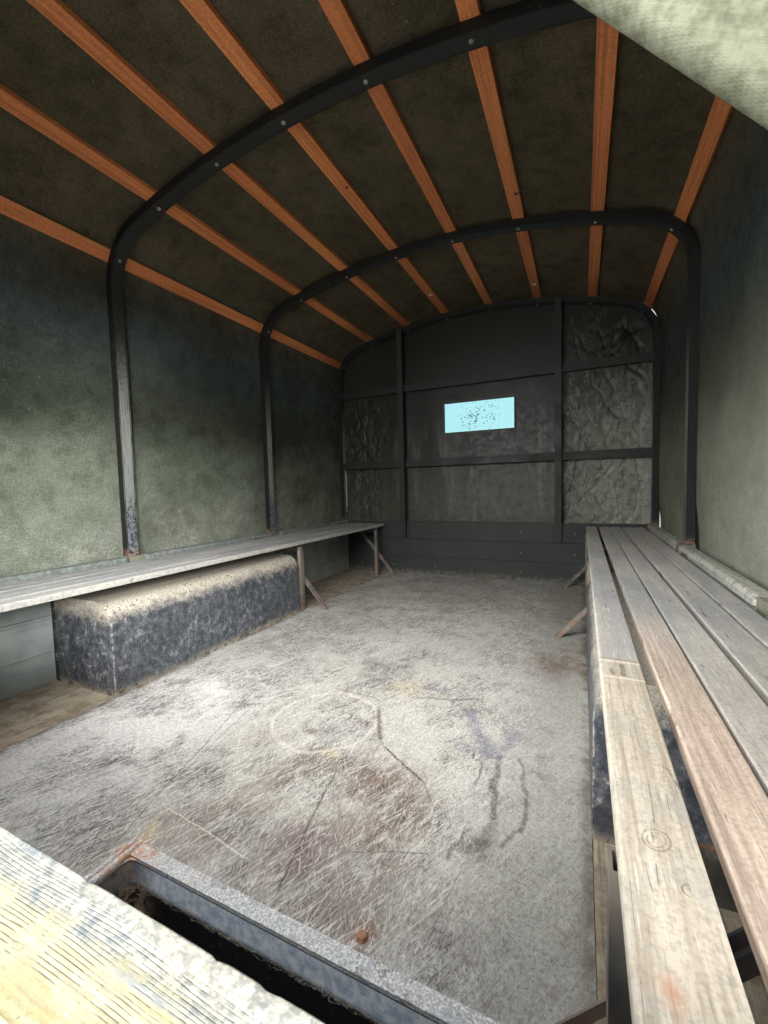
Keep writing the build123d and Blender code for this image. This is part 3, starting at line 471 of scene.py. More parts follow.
def make_arch_paint():
    f = Finish("arch_paint")
    spots = f.noise(44.0, 7.0, 0.80)
    broad = f.noise(6.0, 5.0, 0.66)
    fine = f.noise(260.0, 4.0, 0.78)
    grit = f.noise(90.0, 5.0, 0.70)
    upright = f.strokes(0.0, 90, 90, 0.025, vector=f.turned(scale=(1, 1, 0.30)))
    sway = f.math("ADD", f.wander(broad, 0.07), f.wander(spots, 0.10))
    height = f.math("ADD", f.z, sway)
    film = f.between(height, ARCH_TOP - 0.078, ARCH_TOP - 0.014)
    paint = f.mix(f.between(spots, 0.40, 0.62), (50, 53, 58), (92, 94, 98))
    scuffs = f.both(f.between(spots, 0.56, 0.66), f.between(broad, 0.36, 0.60, 0.3, 1.0))
    f.start(f.both(scuffs, 0.8), paint, (160, 160, 156))
    f.lay((150, 150, 146), upright, f.between(broad, 0.44, 0.60), f.between(grit, 0.46, 0.56), 0.5)
    dust = f.mix(f.between(fine, 0.38, 0.62), (196, 188, 172), (140, 132, 118))
    dust = f.mix(
        f.both(f.between(grit, 0.56, 0.62), f.between(broad, 0.46, 0.56, 0.2, 1.0)), dust, (92, 68, 52),
    )
    f.lay(dust, film, 0.94)
    f.lay((166, 162, 154), f.between(fine, 0.60, 0.70), 0.55)
    side = f.math("ABSOLUTE", f.x)
    corner = f.both(f.under(side, ARCH_FACE + 0.001, ARCH_FACE + 0.004),
                    f.under(f.y, ARCH_REAR + 0.001, ARCH_REAR + 0.005))
    f.lay((170, 168, 160), corner, f.between(spots, 0.46, 0.56), 0.75)
    foot = f.under(f.math("ADD", f.z, sway), FLOOR + 0.002, FLOOR + 0.030)
    f.lay((150, 138, 120), foot, f.between(spots, 0.4, 0.56))
    # Painted shade: the arch goes near black next to the side wall, under the bench.
    wall = f.between(side, 0.990, 1.004)
    f.lay((16, 16, 17), wall, f.between(spots, 0.62, 0.50), 0.95)
    rough = f.between(film, 0.0, 1.0, 0.50, 0.95)
    return f.close(rough, f.bump(spots, 0.0012), Specular_IOR_Level=0.35)


dress(make_arch_paint(), "wheel_arch_left", "wheel_arch_right")

# %% [markdown]
# The step well is a pressed pan under thick black paint, with a rusty, dusty rim. A
# pale blue band along the top of its front wall is a painted sheen: the sky's reflection on
# the rounded shoulder. A dirt line runs along the lengthwise bend of its front wall.

# %% Step well paint
WELL_LOW, WELL_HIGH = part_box("step_well")


def make_well_paint():
    f = Finish("well_paint")
    spots = f.noise(70.0, 7.0, 0.78)
    broad = f.noise(9.0, 4.0, 0.6)
    fine = f.noise(300.0, 4.0, 0.78)
    cloudy = f.noise(60.0, 6.0, 0.70)
    rim = f.between(f.z, FLOOR - 0.0045, FLOOR - 0.0015)
    corner = f.patch((WELL_LOW.x + 0.03, WELL_HIGH.y - 0.02), 0.045, 0.035, place=f.warped((30.0, 0.03)))
    sand = f.mix(f.between(fine, 0.36, 0.60), (220, 224, 224), (160, 160, 160))
    sand = f.mix(f.both(f.between(spots, 0.55, 0.63), 0.7), sand, (96, 82, 72))
    sand = f.mix(f.both(f.between(cloudy, 0.52, 0.60), 0.6), sand, (150, 156, 166))
    rust = f.math("MAXIMUM", f.both(f.between(broad, 0.58, 0.66), 0.16), corner)
    rim_colour = f.mix(f.both(rust, f.between(spots, 0.38, 0.56), 0.75), sand, (186, 134, 100))
    black = f.mix(f.between(spots, 0.56, 0.66), (13, 15, 17), (66, 68, 66))
    # Painted reflection: the pale blue band and its paler middle stand for the sky's sheen on the wall's
    # shoulder, fading out towards the left end.
    band = f.between(f.z, FLOOR - 0.046, FLOOR - 0.034)
    middle = f.both(
        f.between(f.z, FLOOR - 0.040, FLOOR - 0.024), f.between(f.z, FLOOR - 0.005, FLOOR - 0.012),
    )
    blue = f.mix(f.between(cloudy, 0.30, 0.70), (166, 182, 208), (238, 246, 252))
    blue = f.mix(f.both(middle, f.between(cloudy, 0.46, 0.66)), blue, (228, 236, 242))
    blue = f.mix(f.both(f.between(f.x, WELL_LOW.x + 0.10, WELL_LOW.x + 0.03), 0.8), blue, black)
    wall = f.mix(band, black, blue)
    for scale, drop, thin in ((17.0, 0.040, 0.0012), (23.0, 0.044, 0.0008), (31.0, 0.047, 0.0006)):
        sway = f.wander(f.noise(scale, 5.0, 0.7), 0.040)
        off = f.math("ABSOLUTE", f.math("ADD", f.math("SUBTRACT", f.z, FLOOR - drop), sway))
        hair = f.both(f.under(off, 0.4 * thin, thin), f.between(spots, 0.38, 0.48))
        wall = f.mix(f.both(hair, 0.7), wall, (206, 198, 178))
    grime = f.both(
        f.patch((WELL_LOW.x + 0.02, WELL_HIGH.y - 0.03), 0.05, 0.03), f.between(spots, 0.44, 0.54),
    )
    wall = f.mix(f.both(grime, 0.8), wall, (150, 130, 112))
    f.start(rim, wall, rim_colour)
    rough = f.math("MAXIMUM", f.both(rim, 0.9), f.between(cloudy, 0.35, 0.6, 0.3, 0.5))
    relief = f.both(f.math("ADD", spots, fine), f.math("MULTIPLY_ADD", rim, 0.8, 0.2))
    return f.close(rough, f.bump(relief, 0.0008))


dress(make_well_paint(), "step_well")

# %% [markdown]
# ## Timber
# The floor sheet is the part that tells most of the truck's life: pale worn paths, streaks
# where crates were dragged, brown-violet stains, and a scratched ring in the middle. The
# streaks are noise squeezed in one direction and turned a few ways. The ring, the cracks
# and the larger stains have fixed places, each a named mark on the floor.

# %% Floor sheet
RING_CENTRE = (0.0126, -0.545)
RING_RADIUS = 0.147
CRACK, VIOLET, SOOT, SCRATCH = (62, 52, 48), (116, 117, 133), (78, 73, 74), (234, 228, 214)
MARKS = [  # start, end, half width, tint, strength
    ((0.205, -0.262), (0.300, -0.256), 0.022, VIOLET, 0.62),
    ((0.190, -0.351), (0.410, -0.262), 0.009, SOOT, 0.6),
    ((0.365, -0.330), (0.440, -0.480), 0.034, VIOLET, 0.80),
    ((0.430, -0.460), (0.480, -0.540), 0.038, VIOLET, 0.75),
    ((0.515, -0.385), (0.482, -0.500), 0.030, VIOLET, 0.62),
    ((0.370, -0.525), (0.460, -0.512), 0.030, VIOLET, 0.5),
    ((0.478, -0.510), (0.506, -0.650), 0.011, SOOT, 0.80),
    ((0.504, -0.630), (0.511, -0.730), 0.010, SOOT, 0.80),
    ((0.451, -0.560), (0.469, -0.648), 0.0035, SOOT, 0.72),
    ((0.529, -0.500), (0.560, -0.620), 0.007, SOOT, 0.6),
    ((0.560, -0.600), (0.561, -0.745), 0.0075, SOOT, 0.7),
    ((0.562, -0.725), (0.535, -0.790), 0.0065, SOOT, 0.6),
    ((0.511, -0.718), (0.500, -0.810), 0.020, SOOT, 0.6),
    ((0.475, -0.740), (0.442, -0.850), 0.006, SOOT, 0.6),
    ((0.121, -0.425), (0.205, -0.590), 0.009, CRACK, 0.75),
    ((0.207, -0.589), (0.360, -0.682), 0.005, CRACK, 0.85),
    ((0.350, -0.672), (0.390, -0.735), 0.004, CRACK, 0.6),
    ((0.149, -0.700), (0.226, -1.035), 0.0028, CRACK, 0.85),
    ((0.278, -0.907), (0.437, -0.838), 0.0022, CRACK, 0.6),
    ((-0.067, -0.373), (0.100, -0.385), 0.007, CRACK, 0.5),
    ((-0.109, -1.108), (-0.326, -0.407), 0.0024, CRACK, 0.75),
    ((-0.154, -0.961), (-0.303, -0.252), 0.0018, CRACK, 0.7),
    ((-0.173, -0.876), (-0.207, -0.449), 0.0016, CRACK, 0.6),
    ((-0.332, -0.746), (-0.371, -0.370), 0.0018, CRACK, 0.7),
    ((-0.476, -0.628), (-0.526, -0.338), 0.0014, CRACK, 0.6),
    ((0.488, -0.831), (0.468, -0.977), 0.0014, CRACK, 0.6),
    ((-0.133, -0.952), (0.143, -0.987), 0.0018, SCRATCH, 0.8),
    ((0.395, -0.854), (0.429, -0.766), 0.0016, SCRATCH, 0.7),
    ((-0.533, -1.060), (-0.428, -0.888), 0.0022, SCRATCH, 0.8),
    ((-0.472, -1.071), (-0.429, -0.901), 0.0018, SCRATCH, 0.7),
    ((-0.644, -1.014), (-0.628, -0.882), 0.0018, SCRATCH, 0.7),
    ((0.007, -1.023), (0.050, -0.834), 0.0020, SCRATCH, 0.7),
]
BLOTCHES = [  # centre, radius, squash, turn, tint, strength
    ((0.290, -0.750), 0.100, 1.2, 0.5, (112, 90, 78), 0.85),
    ((0.235, -0.930), 0.080, 1.5, 0.4, (98, 76, 82), 0.8),
    ((0.340, -0.840), 0.070, 1.2, 0.2, (112, 88, 78), 0.7),
    ((0.040, -0.150), 0.085, 0.9, 0.0, (88, 86, 90), 0.75),
    ((0.000, -0.270), 0.060, 0.7, 0.0, (98, 92, 90), 0.6),
    ((0.500, -0.800), 0.034, 1.0, 0.0, (84, 70, 66), 0.85),
    ((0.085, -0.575), 0.055, 1.2, 0.4, (150, 152, 152), 0.7),
    ((0.110, -0.520), 0.030, 2.2, 0.6, (84, 66, 58), 0.8),
    ((-0.010, -0.600), 0.034, 2.2, 0.4, (92, 78, 70), 0.7),
    ((0.160, -0.300), 0.060, 1.0, 0.0, (214, 196, 164), 0.6),
    ((0.103, -0.672), 0.030, 1.6, 0.2, (214, 190, 142), 0.6),
    ((0.620, 0.120), 0.150, 1.0, 0.0, (112, 88, 72), 0.75),
    ((-0.085, -1.015), 0.050, 3.0, 0.9, (206, 172, 112), 0.8),
    ((0.381, -1.019), 0.020, 1.0, 0.0, (128, 84, 64), 0.95),
]


def make_floor_sheet():
    f = Finish("floor_sheet")
    broad = f.noise(2.3, 5.0, 0.6)
    cloud = f.noise(8.0, 6.0, 0.72)
    fine = f.noise(130.0, 5.0, 0.78)
    speck = f.noise(340.0, 2.0, 0.6)
    f.start(f.between(broad, 0.36, 0.62), (147, 148, 145), (182, 181, 174))
    f.lay((191, 188, 178), f.patch((0.02, -0.46), 0.42, 0.30, 0.7), 0.7)
    smooth_side = f.between(f.x, 0.42, 0.60)
    f.lay((148, 149, 141), smooth_side, 0.6)
    left_side = f.both(f.between(f.x, -0.10, -0.42), f.between(f.y, -0.2, -0.6))
    f.lay((226, 224, 221), left_side, 0.8)
    # Painted shade: the floor is darker towards the cab end, where less light reaches, and near the
    # tailgate, where its shadow falls.
    f.lay((126, 121, 108), f.between(f.y, 0.1, 0.9), 0.55)
    near = f.under(f.y, REAR + 0.28, REAR + 0.60)
    f.lay((140, 140, 143), near, 0.5)
    worked = f.both(f.between(f.y, -0.55, -0.72), f.between(f.x, 0.46, 0.36), f.between(f.x, -0.25, 0.02))
    brown = f.between(f.noise(1.0, 5.0, 0.68, f.turned(0.6, (11, 4.5, 1))), 0.40, 0.58)
    f.lay((118, 98, 86), worked, brown, 0.62)
    f.lay((112, 104, 97), f.between(cloud, 0.52, 0.66), 0.55)
    bent = f.warped((7.0, 0.030), (34.0, 0.010))
    for centre, radius, squash, turn, tint, strength in BLOTCHES:
        edge = f.between(cloud, 0.38, 0.58, 0.10, 1.0)
        blotch = f.patch(centre, radius, 0.6 * radius, squash, turn, bent)
        f.lay(tint, blotch, edge, strength)
    rough_side = f.less(f.both(smooth_side, 0.7))
    leaning = f.both(f.between(f.x, 0.30, 0.0, 0.25, 1.0), rough_side)
    patchy = f.between(f.noise(5.0, 5.0, 0.7), 0.42, 0.60, 0.06, 1.0)
    grainy = f.between(fine, 0.36, 0.52, 0.3, 1.0)
    dark = (70, 66, 64)
    for angle, across, along, thin, where in (
        (0.52, 62, 4.5, 0.022, leaning), (0.46, 105, 9, 0.030, leaning),
        (0.60, 150, 16, 0.040, rough_side), (0.02, 100, 10, 0.026, rough_side),
        (-0.7, 110, 20, 0.026, rough_side), (1.4, 120, 26, 0.026, rough_side),
    ):
        marks = f.strokes(angle, across, along, thin, 11 * across, detail=1.0)
        f.lay(dark, marks, patchy, where, 0.74)
    for angle, across, along, thin in (
        (0.52, 70, 4, 0.018), (0.42, 120, 10, 0.026), (0.0, 110, 10, 0.024), (-0.5, 130, 20, 0.024),
    ):
        marks = f.strokes(angle, across, along, thin, 7 * across, detail=1.0)
        f.lay((225, 221, 211), marks, grainy, rough_side, 0.48)
    from_ring = f.measure("DISTANCE", f.place, (*RING_CENTRE, FLOOR))
    sway = f.wander(f.noise(12.0, 3.0), 0.030)
    far = f.math("ADD", from_ring, sway)
    off_ring = f.math("ABSOLUTE", f.math("SUBTRACT", far, RING_RADIUS))
    worn = f.math(
        "MULTIPLY", f.between(cloud, 0.30, 0.5, 0.45, 1.0), f.between(fine, 0.36, 0.52, 0.35, 1.0),
    )
    f.lay((232, 224, 206), f.under(off_ring, 0.002, 0.009), worn, 0.48)
    faint = f.warped((9.0, 0.006), (40.0, 0.003))
    for start, end, width, tint, strength in MARKS:
        place = faint if tint in (CRACK, SCRATCH) else bent
        broken = f.between(cloud, 0.36, 0.56, 0.55, 1.0) if width > 0.01 else 1.0
        mark = f.both(
            f.line(start, end, width, place), f.between(fine, 0.32, 0.54, 0.2, 1.0), broken, strength,
        )
        f.lay(tint, mark)
    f.lay((98, 92, 87), f.between(fine, 0.42, 0.64, 0.0, 0.42))
    f.lay((74, 66, 60), f.between(speck, 0.60, 0.68), 0.6)
    edge = f.between(f.math("ABSOLUTE", f.x), ARCH_FACE - 0.030, ARCH_FACE - 0.004)
    f.lay((92, 80, 68), edge, f.between(cloud, 0.36, 0.56), 0.8)
    normal = f.bump(fine, 0.0004)
    return f.close(f.between(cloud, 0.3, 0.7, 0.65, 0.9), normal, Specular_IOR_Level=0.3)


dress(make_floor_sheet(), "floor_centre")

# %% [markdown]
# Outside the sheet, beside the arches, lie bare brown planks under a film of dust. The
# sides and the headboard are planks in thick grey-green paint. Their boards show as seams
# between solids; the paint adds long grain, scrapes and dust near the floor.

# %% Side strips, boards and caps
def make_strip_wood():
    f = Finish("strip_wood")
    cloud = f.noise(16.0, 6.0, 0.7)
    grain = f.noise(1.0, 5.0, 0.65, f.turned(scale=(120, 5, 60)))
    fine = f.noise(210.0, 3.0, 0.6)
    f.start(f.between(cloud, 0.36, 0.62), (118, 104, 88), (158, 147, 128))
    f.lay((80, 68, 58), f.between(grain, 0.52, 0.66), 0.6)
    f.lay((160, 146, 122), f.between(fine, 0.56, 0.66), 0.5)
    return f.close(0.86, f.bump(f.math("ADD", cloud, f.math("ADD", grain, fine)), 0.0016))


def make_board_paint(name, tint, dust):
    f = Finish(name)
    grain = f.noise(1.0, 5.0, 0.62, f.turned(scale=(60, 3.0, 110)))
    cross = f.noise(1.0, 5.0, 0.62, f.turned(scale=(3.0, 60, 110)))
    broad = f.noise(3.5, 5.0, 0.62)
    fine = f.noise(120.0, 5.0, 0.7)
    spots = f.noise(38.0, 6.0, 0.7)
    along_side = f.between(f.math("ABSOLUTE", f.x), 1.0, 1.01)
    lines = f.math("ADD", f.both(grain, along_side), f.both(cross, f.less(along_side)))
    f.start(f.between(broad, 0.34, 0.66), tint, dust)
    f.lay((46, 50, 46), f.between(lines, 0.54, 0.68), 0.22)
    dusty = f.between(f.z, FLOOR, FLOOR + 0.05, 0.5, 0.0)
    f.lay((128, 118, 102), dusty, f.between(spots, 0.35, 0.62))
    f.lay((150, 148, 138), f.between(fine, 0.60, 0.70), 0.25)
    f.lay((78, 62, 48), f.between(spots, 0.67, 0.72))
    return f.close(0.66, f.bump(f.math("ADD", lines, fine), 0.0008))


CAP_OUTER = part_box("side_caps_right")[1].x


def make_cap_paint():
    f = Finish("cap_paint")
    grain = f.noise(1.0, 5.0, 0.62, f.turned(scale=(90, 3.0, 90)))
    spots = f.noise(60.0, 6.0, 0.7)
    side = f.math("ABSOLUTE", f.x)
    top = f.math(
        "MAXIMUM", f.between(side, CAP_OUTER - 0.009, CAP_OUTER - 0.004),
        f.both(f.between(f.x, 0.0, 0.1), 0.7),
    )
    f.start(f.between(spots, 0.4, 0.62), (92, 99, 98), (124, 128, 122))
    worn = f.mix(f.between(grain, 0.4, 0.62), (200, 197, 182), (160, 158, 146))
    f.lay(worn, top, f.between(spots, 0.30, 0.52))
    return f.close(0.7, f.bump(f.math("ADD", grain, spots), 0.0008))


dress(make_strip_wood(), "floor_side_strips")
side_paint = make_board_paint("side_paint", (112, 120, 119), (149, 155, 151))
front_paint = make_board_paint("front_paint", (29, 34, 32), (41, 45, 41))
dress(side_paint, "side_boards_left", "side_boards_right", "tailgate_boards")
dress(front_paint, "headboard")
dress(make_cap_paint(), "side_caps_left", "side_caps_right")

# %% [markdown]
# The roof battens are varnished softwood that has gone orange-brown, with small dark
# knots. Grain runs along them, so the noise is squeezed along Y, and each batten gets its
# own shade from the place it lies in.

# %% Batten wood
BATTEN_KNOTS = [(-0.745, -0.80, 0.010), (-0.465, -1.02, 0.008), (0.425, 0.33, 0.009), (-0.180, 0.02, 0.007)]


def make_batten_wood():
    f = Finish("batten_wood")
    grain = f.noise(1.0, 6.0, 0.6, f.turned(scale=(110, 1.8, 60)), 0.3)
    broad = f.noise(1.0, 3.0, 0.5, f.turned(scale=(6, 1.2, 2)))
    fine = f.noise(150.0, 4.0, 0.7)
    f.start(f.between(broad, 0.3, 0.7), (200, 122, 74), (228, 144, 88))
    f.lay((146, 82, 46), f.between(grain, 0.46, 0.62), 0.5)
    f.lay((120, 62, 32), f.between(fine, 0.40, 0.66, 0.0, 0.35))
    f.lay((214, 156, 104), f.between(f.noise(240.0, 2.0), 0.66, 0.72), 0.35)
    for x, y, radius in BATTEN_KNOTS:
        knot = f.both(f.patch((x, y), radius, 0.4 * radius), f.between(f.z, FLOOR + 1.5, FLOOR + 1.52))
        f.lay((42, 22, 12), knot, 0.9)
    # Painted shade: the battens are darker towards the cab end.
    f.lay((110, 56, 28), f.between(f.y, 0.9, 1.30), 0.5)
    return f.close(0.6, f.bump(grain, 0.0004), Specular_IOR_Level=0.3)


dress(make_batten_wood(), "roof_battens")

# %% [markdown]
# Bench slats are softwood that rain and trousers have weathered. The front slat of the
# right bench is bare and pale at the tailgate end; past a lap joint it still carries
# grey-green paint. Each slat gets its own tint from its place across the bench.

# %% Bench slats
LAP_Y = -0.775
SLAT_EDGES = ((0.753, 0.767), (0.8205, 0.8235))  # the gaps after the first and second slat
RING_KNOT = (0.723, -1.147)
CRESCENT = (0.737, -1.187)


def make_slat_wood():
    f = Finish("slat_wood")
    side = f.math("ABSOLUTE", f.x)
    right = f.between(f.x, 0.60, 0.61)
    grain = f.noise(1.0, 6.0, 0.66, f.turned(scale=(120, 3.0, 120)), 0.25)
    fine = f.noise(1.0, 4.0, 0.70, f.turned(scale=(420, 30, 420)))
    broad = f.noise(1.0, 4.0, 0.6, f.turned(scale=(9, 2.4, 9)))
    spots = f.noise(75.0, 6.0, 0.75)
    first = f.between(side, *SLAT_EDGES[0], 1.0, 0.0)
    second = f.both(f.less(first), f.between(side, *SLAT_EDGES[1], 1.0, 0.0))
    rear = f.under(f.y, -0.95, -0.30)
    cloud = f.noise(24.0, 6.0, 0.72)
    grey = f.mix(f.between(broad, 0.34, 0.66), (140, 142, 142), (172, 169, 162))
    grey = f.mix(f.both(right, f.between(f.y, -0.2, 0.8), 0.6), grey, (190, 187, 178))
    f.start(f.both(rear, right, 0.4), grey, (180, 170, 156))
    tan = f.mix(f.between(grain, 0.36, 0.62), (208, 186, 166), (166, 146, 130))
    f.lay(tan, second, rear, right, 0.85)
    bare = f.both(f.under(f.y, LAP_Y - 0.002, LAP_Y), right, first)
    pale = f.mix(f.between(grain, 0.40, 0.62), (184, 175, 159), (157, 147, 131))
    warm = f.both(f.between(f.y, -1.10, -0.90), f.between(broad, 0.40, 0.60))
    pale = f.mix(f.both(warm, 0.5), pale, (190, 168, 132))
    pale = f.mix(f.both(f.between(cloud, 0.50, 0.64), 0.5), pale, (152, 150, 146))
    f.lay(pale, bare)
    f.lay((120, 124, 128), f.less(right), 0.30)
    f.lay((112, 102, 92), f.between(f.noise(260.0, 4.0, 0.78), 0.44, 0.64, 0.0, 0.35))
    cracks = f.strokes(0.0, 60, 1.6, 0.010, 3.0, detail=1.0)
    f.lay((84, 74, 64), cracks, f.between(cloud, 0.46, 0.56), 0.7)
    f.lay((118, 106, 92), f.between(grain, 0.56, 0.74), 0.5)
    f.lay((106, 98, 88), f.between(fine, 0.52, 0.70), 0.45)
    f.lay((226, 218, 202), f.between(fine, 0.44, 0.32), 0.35)
    f.lay((96, 86, 76), f.between(spots, 0.62, 0.72), 0.4)
    worn = f.under(side, 0.693, 0.703)
    f.lay((196, 190, 176), worn, f.between(spots, 0.36, 0.56), 0.55)
    from_lap = f.math("ABSOLUTE", f.math("SUBTRACT", f.y, LAP_Y))
    lap = f.both(f.under(from_lap, 0.0006, 0.002), first, right)
    f.lay((96, 88, 76), lap)
    for low, high in ((0.7065, 0.7155), (0.7200, 0.7300)):
        square = f.both(
            first, right, f.between(side, low, low + 0.002), f.between(side, high, high - 0.002),
        )
        square = f.both(
            square, f.between(f.y, LAP_Y - 0.016, LAP_Y - 0.020),
            f.between(f.y, LAP_Y - 0.066, LAP_Y - 0.060),
        )
        f.lay((92, 84, 74), square, f.between(spots, 0.36, 0.56), 0.7)
    for drop in (0.010, 0.070):
        rule = f.under(f.math("ABSOLUTE", f.math("SUBTRACT", f.y, LAP_Y - drop)), 0.001, 0.003)
        f.lay((216, 208, 188), rule, first, right, 0.6)
    knot = f.both(
        f.patch(RING_KNOT, 0.0098, 0.0008, 0.8, 0.5), f.less(f.patch(RING_KNOT, 0.0088, 0.0008, 0.8, 0.5)),
    )
    inner = f.both(
        f.patch(RING_KNOT, 0.0062, 0.0007, 0.7, 0.5), f.less(f.patch(RING_KNOT, 0.0055, 0.0007, 0.7, 0.5)),
    )
    knot = f.both(f.math("MAXIMUM", knot, inner), f.between(fine, 0.34, 0.50))
    rim = f.both(
        f.patch(CRESCENT, 0.0050, 0.0006),
        f.less(f.patch((CRESCENT[0] + 0.0015, CRESCENT[1]), 0.0050, 0.0006)),
    )
    f.lay((92, 78, 62), f.math("MAXIMUM", knot, rim), right, 0.75)
    stain = f.patch((0.715, -1.262), 0.0055, 0.005, 0.6)
    f.lay((164, 112, 78), stain, 0.55, f.between(spots, 0.35, 0.50))
    height = f.math("ADD", grain, f.math("MULTIPLY", fine, 0.7))
    return f.close(0.78, f.bump(height, 0.0008), Specular_IOR_Level=0.3)


dress(make_slat_wood(), "bench_slats_left", "bench_slats_right")

# %% [markdown]
# ## Canvas
# The cover is one long sheet. Its line across the truck is the hoops' own: a shallow roof
# arc, a tight bend at each eave, and a straight drop. A helper walks that line by its real
# length, so that the cloth keeps its cut size and the weave follows it.

# %% The line across the roof
def arch_numbers(offset):
    """Half width, bend radius, roof radius, and the centres of both arcs, moved out by offset."""
    half = HALF_SPREAD + offset
    bend = BEND_RADIUS + offset
    roof = ROOF_RADIUS + offset
    bend_x = half - bend
    roof_z = CROWN - ROOF_RADIUS
    bend_z = roof_z + math.sqrt((roof - bend) ** 2 - bend_x ** 2)
    lean = math.atan2(bend_x, bend_z - roof_z)
    return half, bend, roof, bend_x, roof_z, bend_z, lean


_, BEND0, ROOF0, BEND_X, ROOF_Z, BEND_Z, LEAN = arch_numbers(0.0)
ROOF_RUN = ROOF0 * LEAN
BEND_RUN = BEND0 * (math.pi / 2 - LEAN)


def walk(run):
    """The point of the hoop line at a signed distance from the crown, and its outward direction."""
    side = 1 if run >= 0 else -1
    far = abs(run)
    if far <= ROOF_RUN:
        angle = far / ROOF0
        x, z = ROOF0 * math.sin(angle), ROOF_Z + ROOF0 * math.cos(angle)
    elif far <= ROOF_RUN + BEND_RUN:
        angle = LEAN + (far - ROOF_RUN) / BEND0
        x, z = BEND_X + BEND0 * math.sin(angle), BEND_Z + BEND0 * math.cos(angle)
    else:
        angle = math.pi / 2
        x, z = HALF_SPREAD, BEND_Z - (far - ROOF_RUN - BEND_RUN)
    return side * x, z, side * math.sin(angle), math.cos(angle)


def run_at(x):
    """How far along the line from the crown the hoop reaches a given x."""
    if x <= ROOF0 * math.sin(LEAN):
        return ROOF0 * math.asin(x / ROOF0)
    return ROOF_RUN + BEND0 * (math.asin((x - BEND_X) / BEND0) - LEAN)


BATTEN_X = (-1.032, -0.780, -0.480, -0.190, 0.105, 0.410, 0.720, 0.996)
BATTEN_RUNS = [math.copysign(run_at(abs(x)), x) for x in BATTEN_X]
print(
    "roof arc", round(ROOF_RUN, 3), "bend", round(BEND_RUN, 3), "battens at",
    [round(r, 3) for r in BATTEN_RUNS],
)

# %% [markdown]
# A grid of points becomes a mesh with a UV map in metres, so that threads keep their real
# pitch wherever the cloth bends. Solidify gives the cloth its thickness, and can put a
# second finish on the inside.

# %% A helper for cloth
def grid_mesh(name, points, lengths, skip=None):
    """A mesh from rows of points; lengths are each point's place on the flat cloth."""
    rows, columns = len(points), len(points[0])
    flat = [p for row in points for p in row]
    faces = []
    for i in range(rows - 1):
        for j in range(columns - 1):
            if skip is None or not skip(i, j):
                a = i * columns + j
                faces.append((a, a + 1, a + columns + 1, a + columns))
    mesh = bpy.data.meshes.new(name)
    mesh.from_pydata(flat, [], faces)
    mesh.validate()
    uv = mesh.uv_layers.new(name="cloth")
    places = [q for row in lengths for q in row]
    for loop in mesh.loops:
        uv.data[loop.index].uv = places[loop.vertex_index]
    for polygon in mesh.polygons:
        polygon.use_smooth = True
    return add_object(name, mesh)


def drop_loose(piece):
    """Remove points that no face uses, as in the hole of a window."""
    mesh = piece.data
    used = {v for polygon in mesh.polygons for v in polygon.vertices}
    work = bmesh.new()
    work.from_mesh(mesh)
    work.verts.ensure_lookup_table()
    loose = [v for v in work.verts if v.index not in used]
    bmesh.ops.delete(work, geom=loose, context="VERTS")
    work.to_mesh(mesh)
    work.free()


def thicken(piece, thickness, inner=False):
    """Give cloth its thickness, evenly about its middle, and make the result its mesh."""
    modifier = piece.modifiers.new("thickness", "SOLIDIFY")
    modifier.thickness = thickness
    modifier.offset = 0.0
    modifier.use_even_offset = False
    if inner:
        modifier.material_offset = 1
    bake(piece)


def bake(piece):
    """Turn a piece and its modifiers into a plain mesh."""
    depsgraph = bpy.context.evaluated_depsgraph_get()
    made = bpy.data.meshes.new_from_object(piece.evaluated_get(depsgraph))
    piece.modifiers.clear()
    old = piece.data
    piece.data = made
    made.name = old.name
    bpy.data.meshes.remove(old)


def cloth_area(piece):
    return sum(polygon.area for polygon in piece.data.polygons)


def ripple(x, y, z, scale, seed):
    """Smooth noise from -1 to 1 at a place, for folds and sag."""
    return noise.noise(Vector((x * scale + seed, y * scale - seed, z * scale + 2 * seed)))


def smooth(value, low, high):
    share = min(max((value - low) / (high - low), 0.0), 1.0)
    return share * share * (3 - 2 * share)


# %% Canvas finishes
def weave_relief(f, cloth, thread):
    """Threads both ways and the slubs in them, from a place on the flat cloth in metres."""
    u, v, _ = f.node("ShaderNodeSeparateXYZ", {0: cloth}).outputs
    ribs = []
    for run in (u, v):
        ribs.append(f.math("ABSOLUTE", f.math("SINE", f.math("MULTIPLY", run, math.pi / thread))))
    slub_u = f.noise(1.0, 3.0, 0.6, f.turned(scale=(420, 16, 1), vector=cloth))
    slub_v = f.noise(1.0, 3.0, 0.6, f.turned(scale=(16, 420, 1), vector=cloth))
    slubs = f.math("ADD", slub_u, slub_v)
    return slubs, f.math("MULTIPLY_ADD", f.math("MAXIMUM", *ribs), 0.6, slubs)


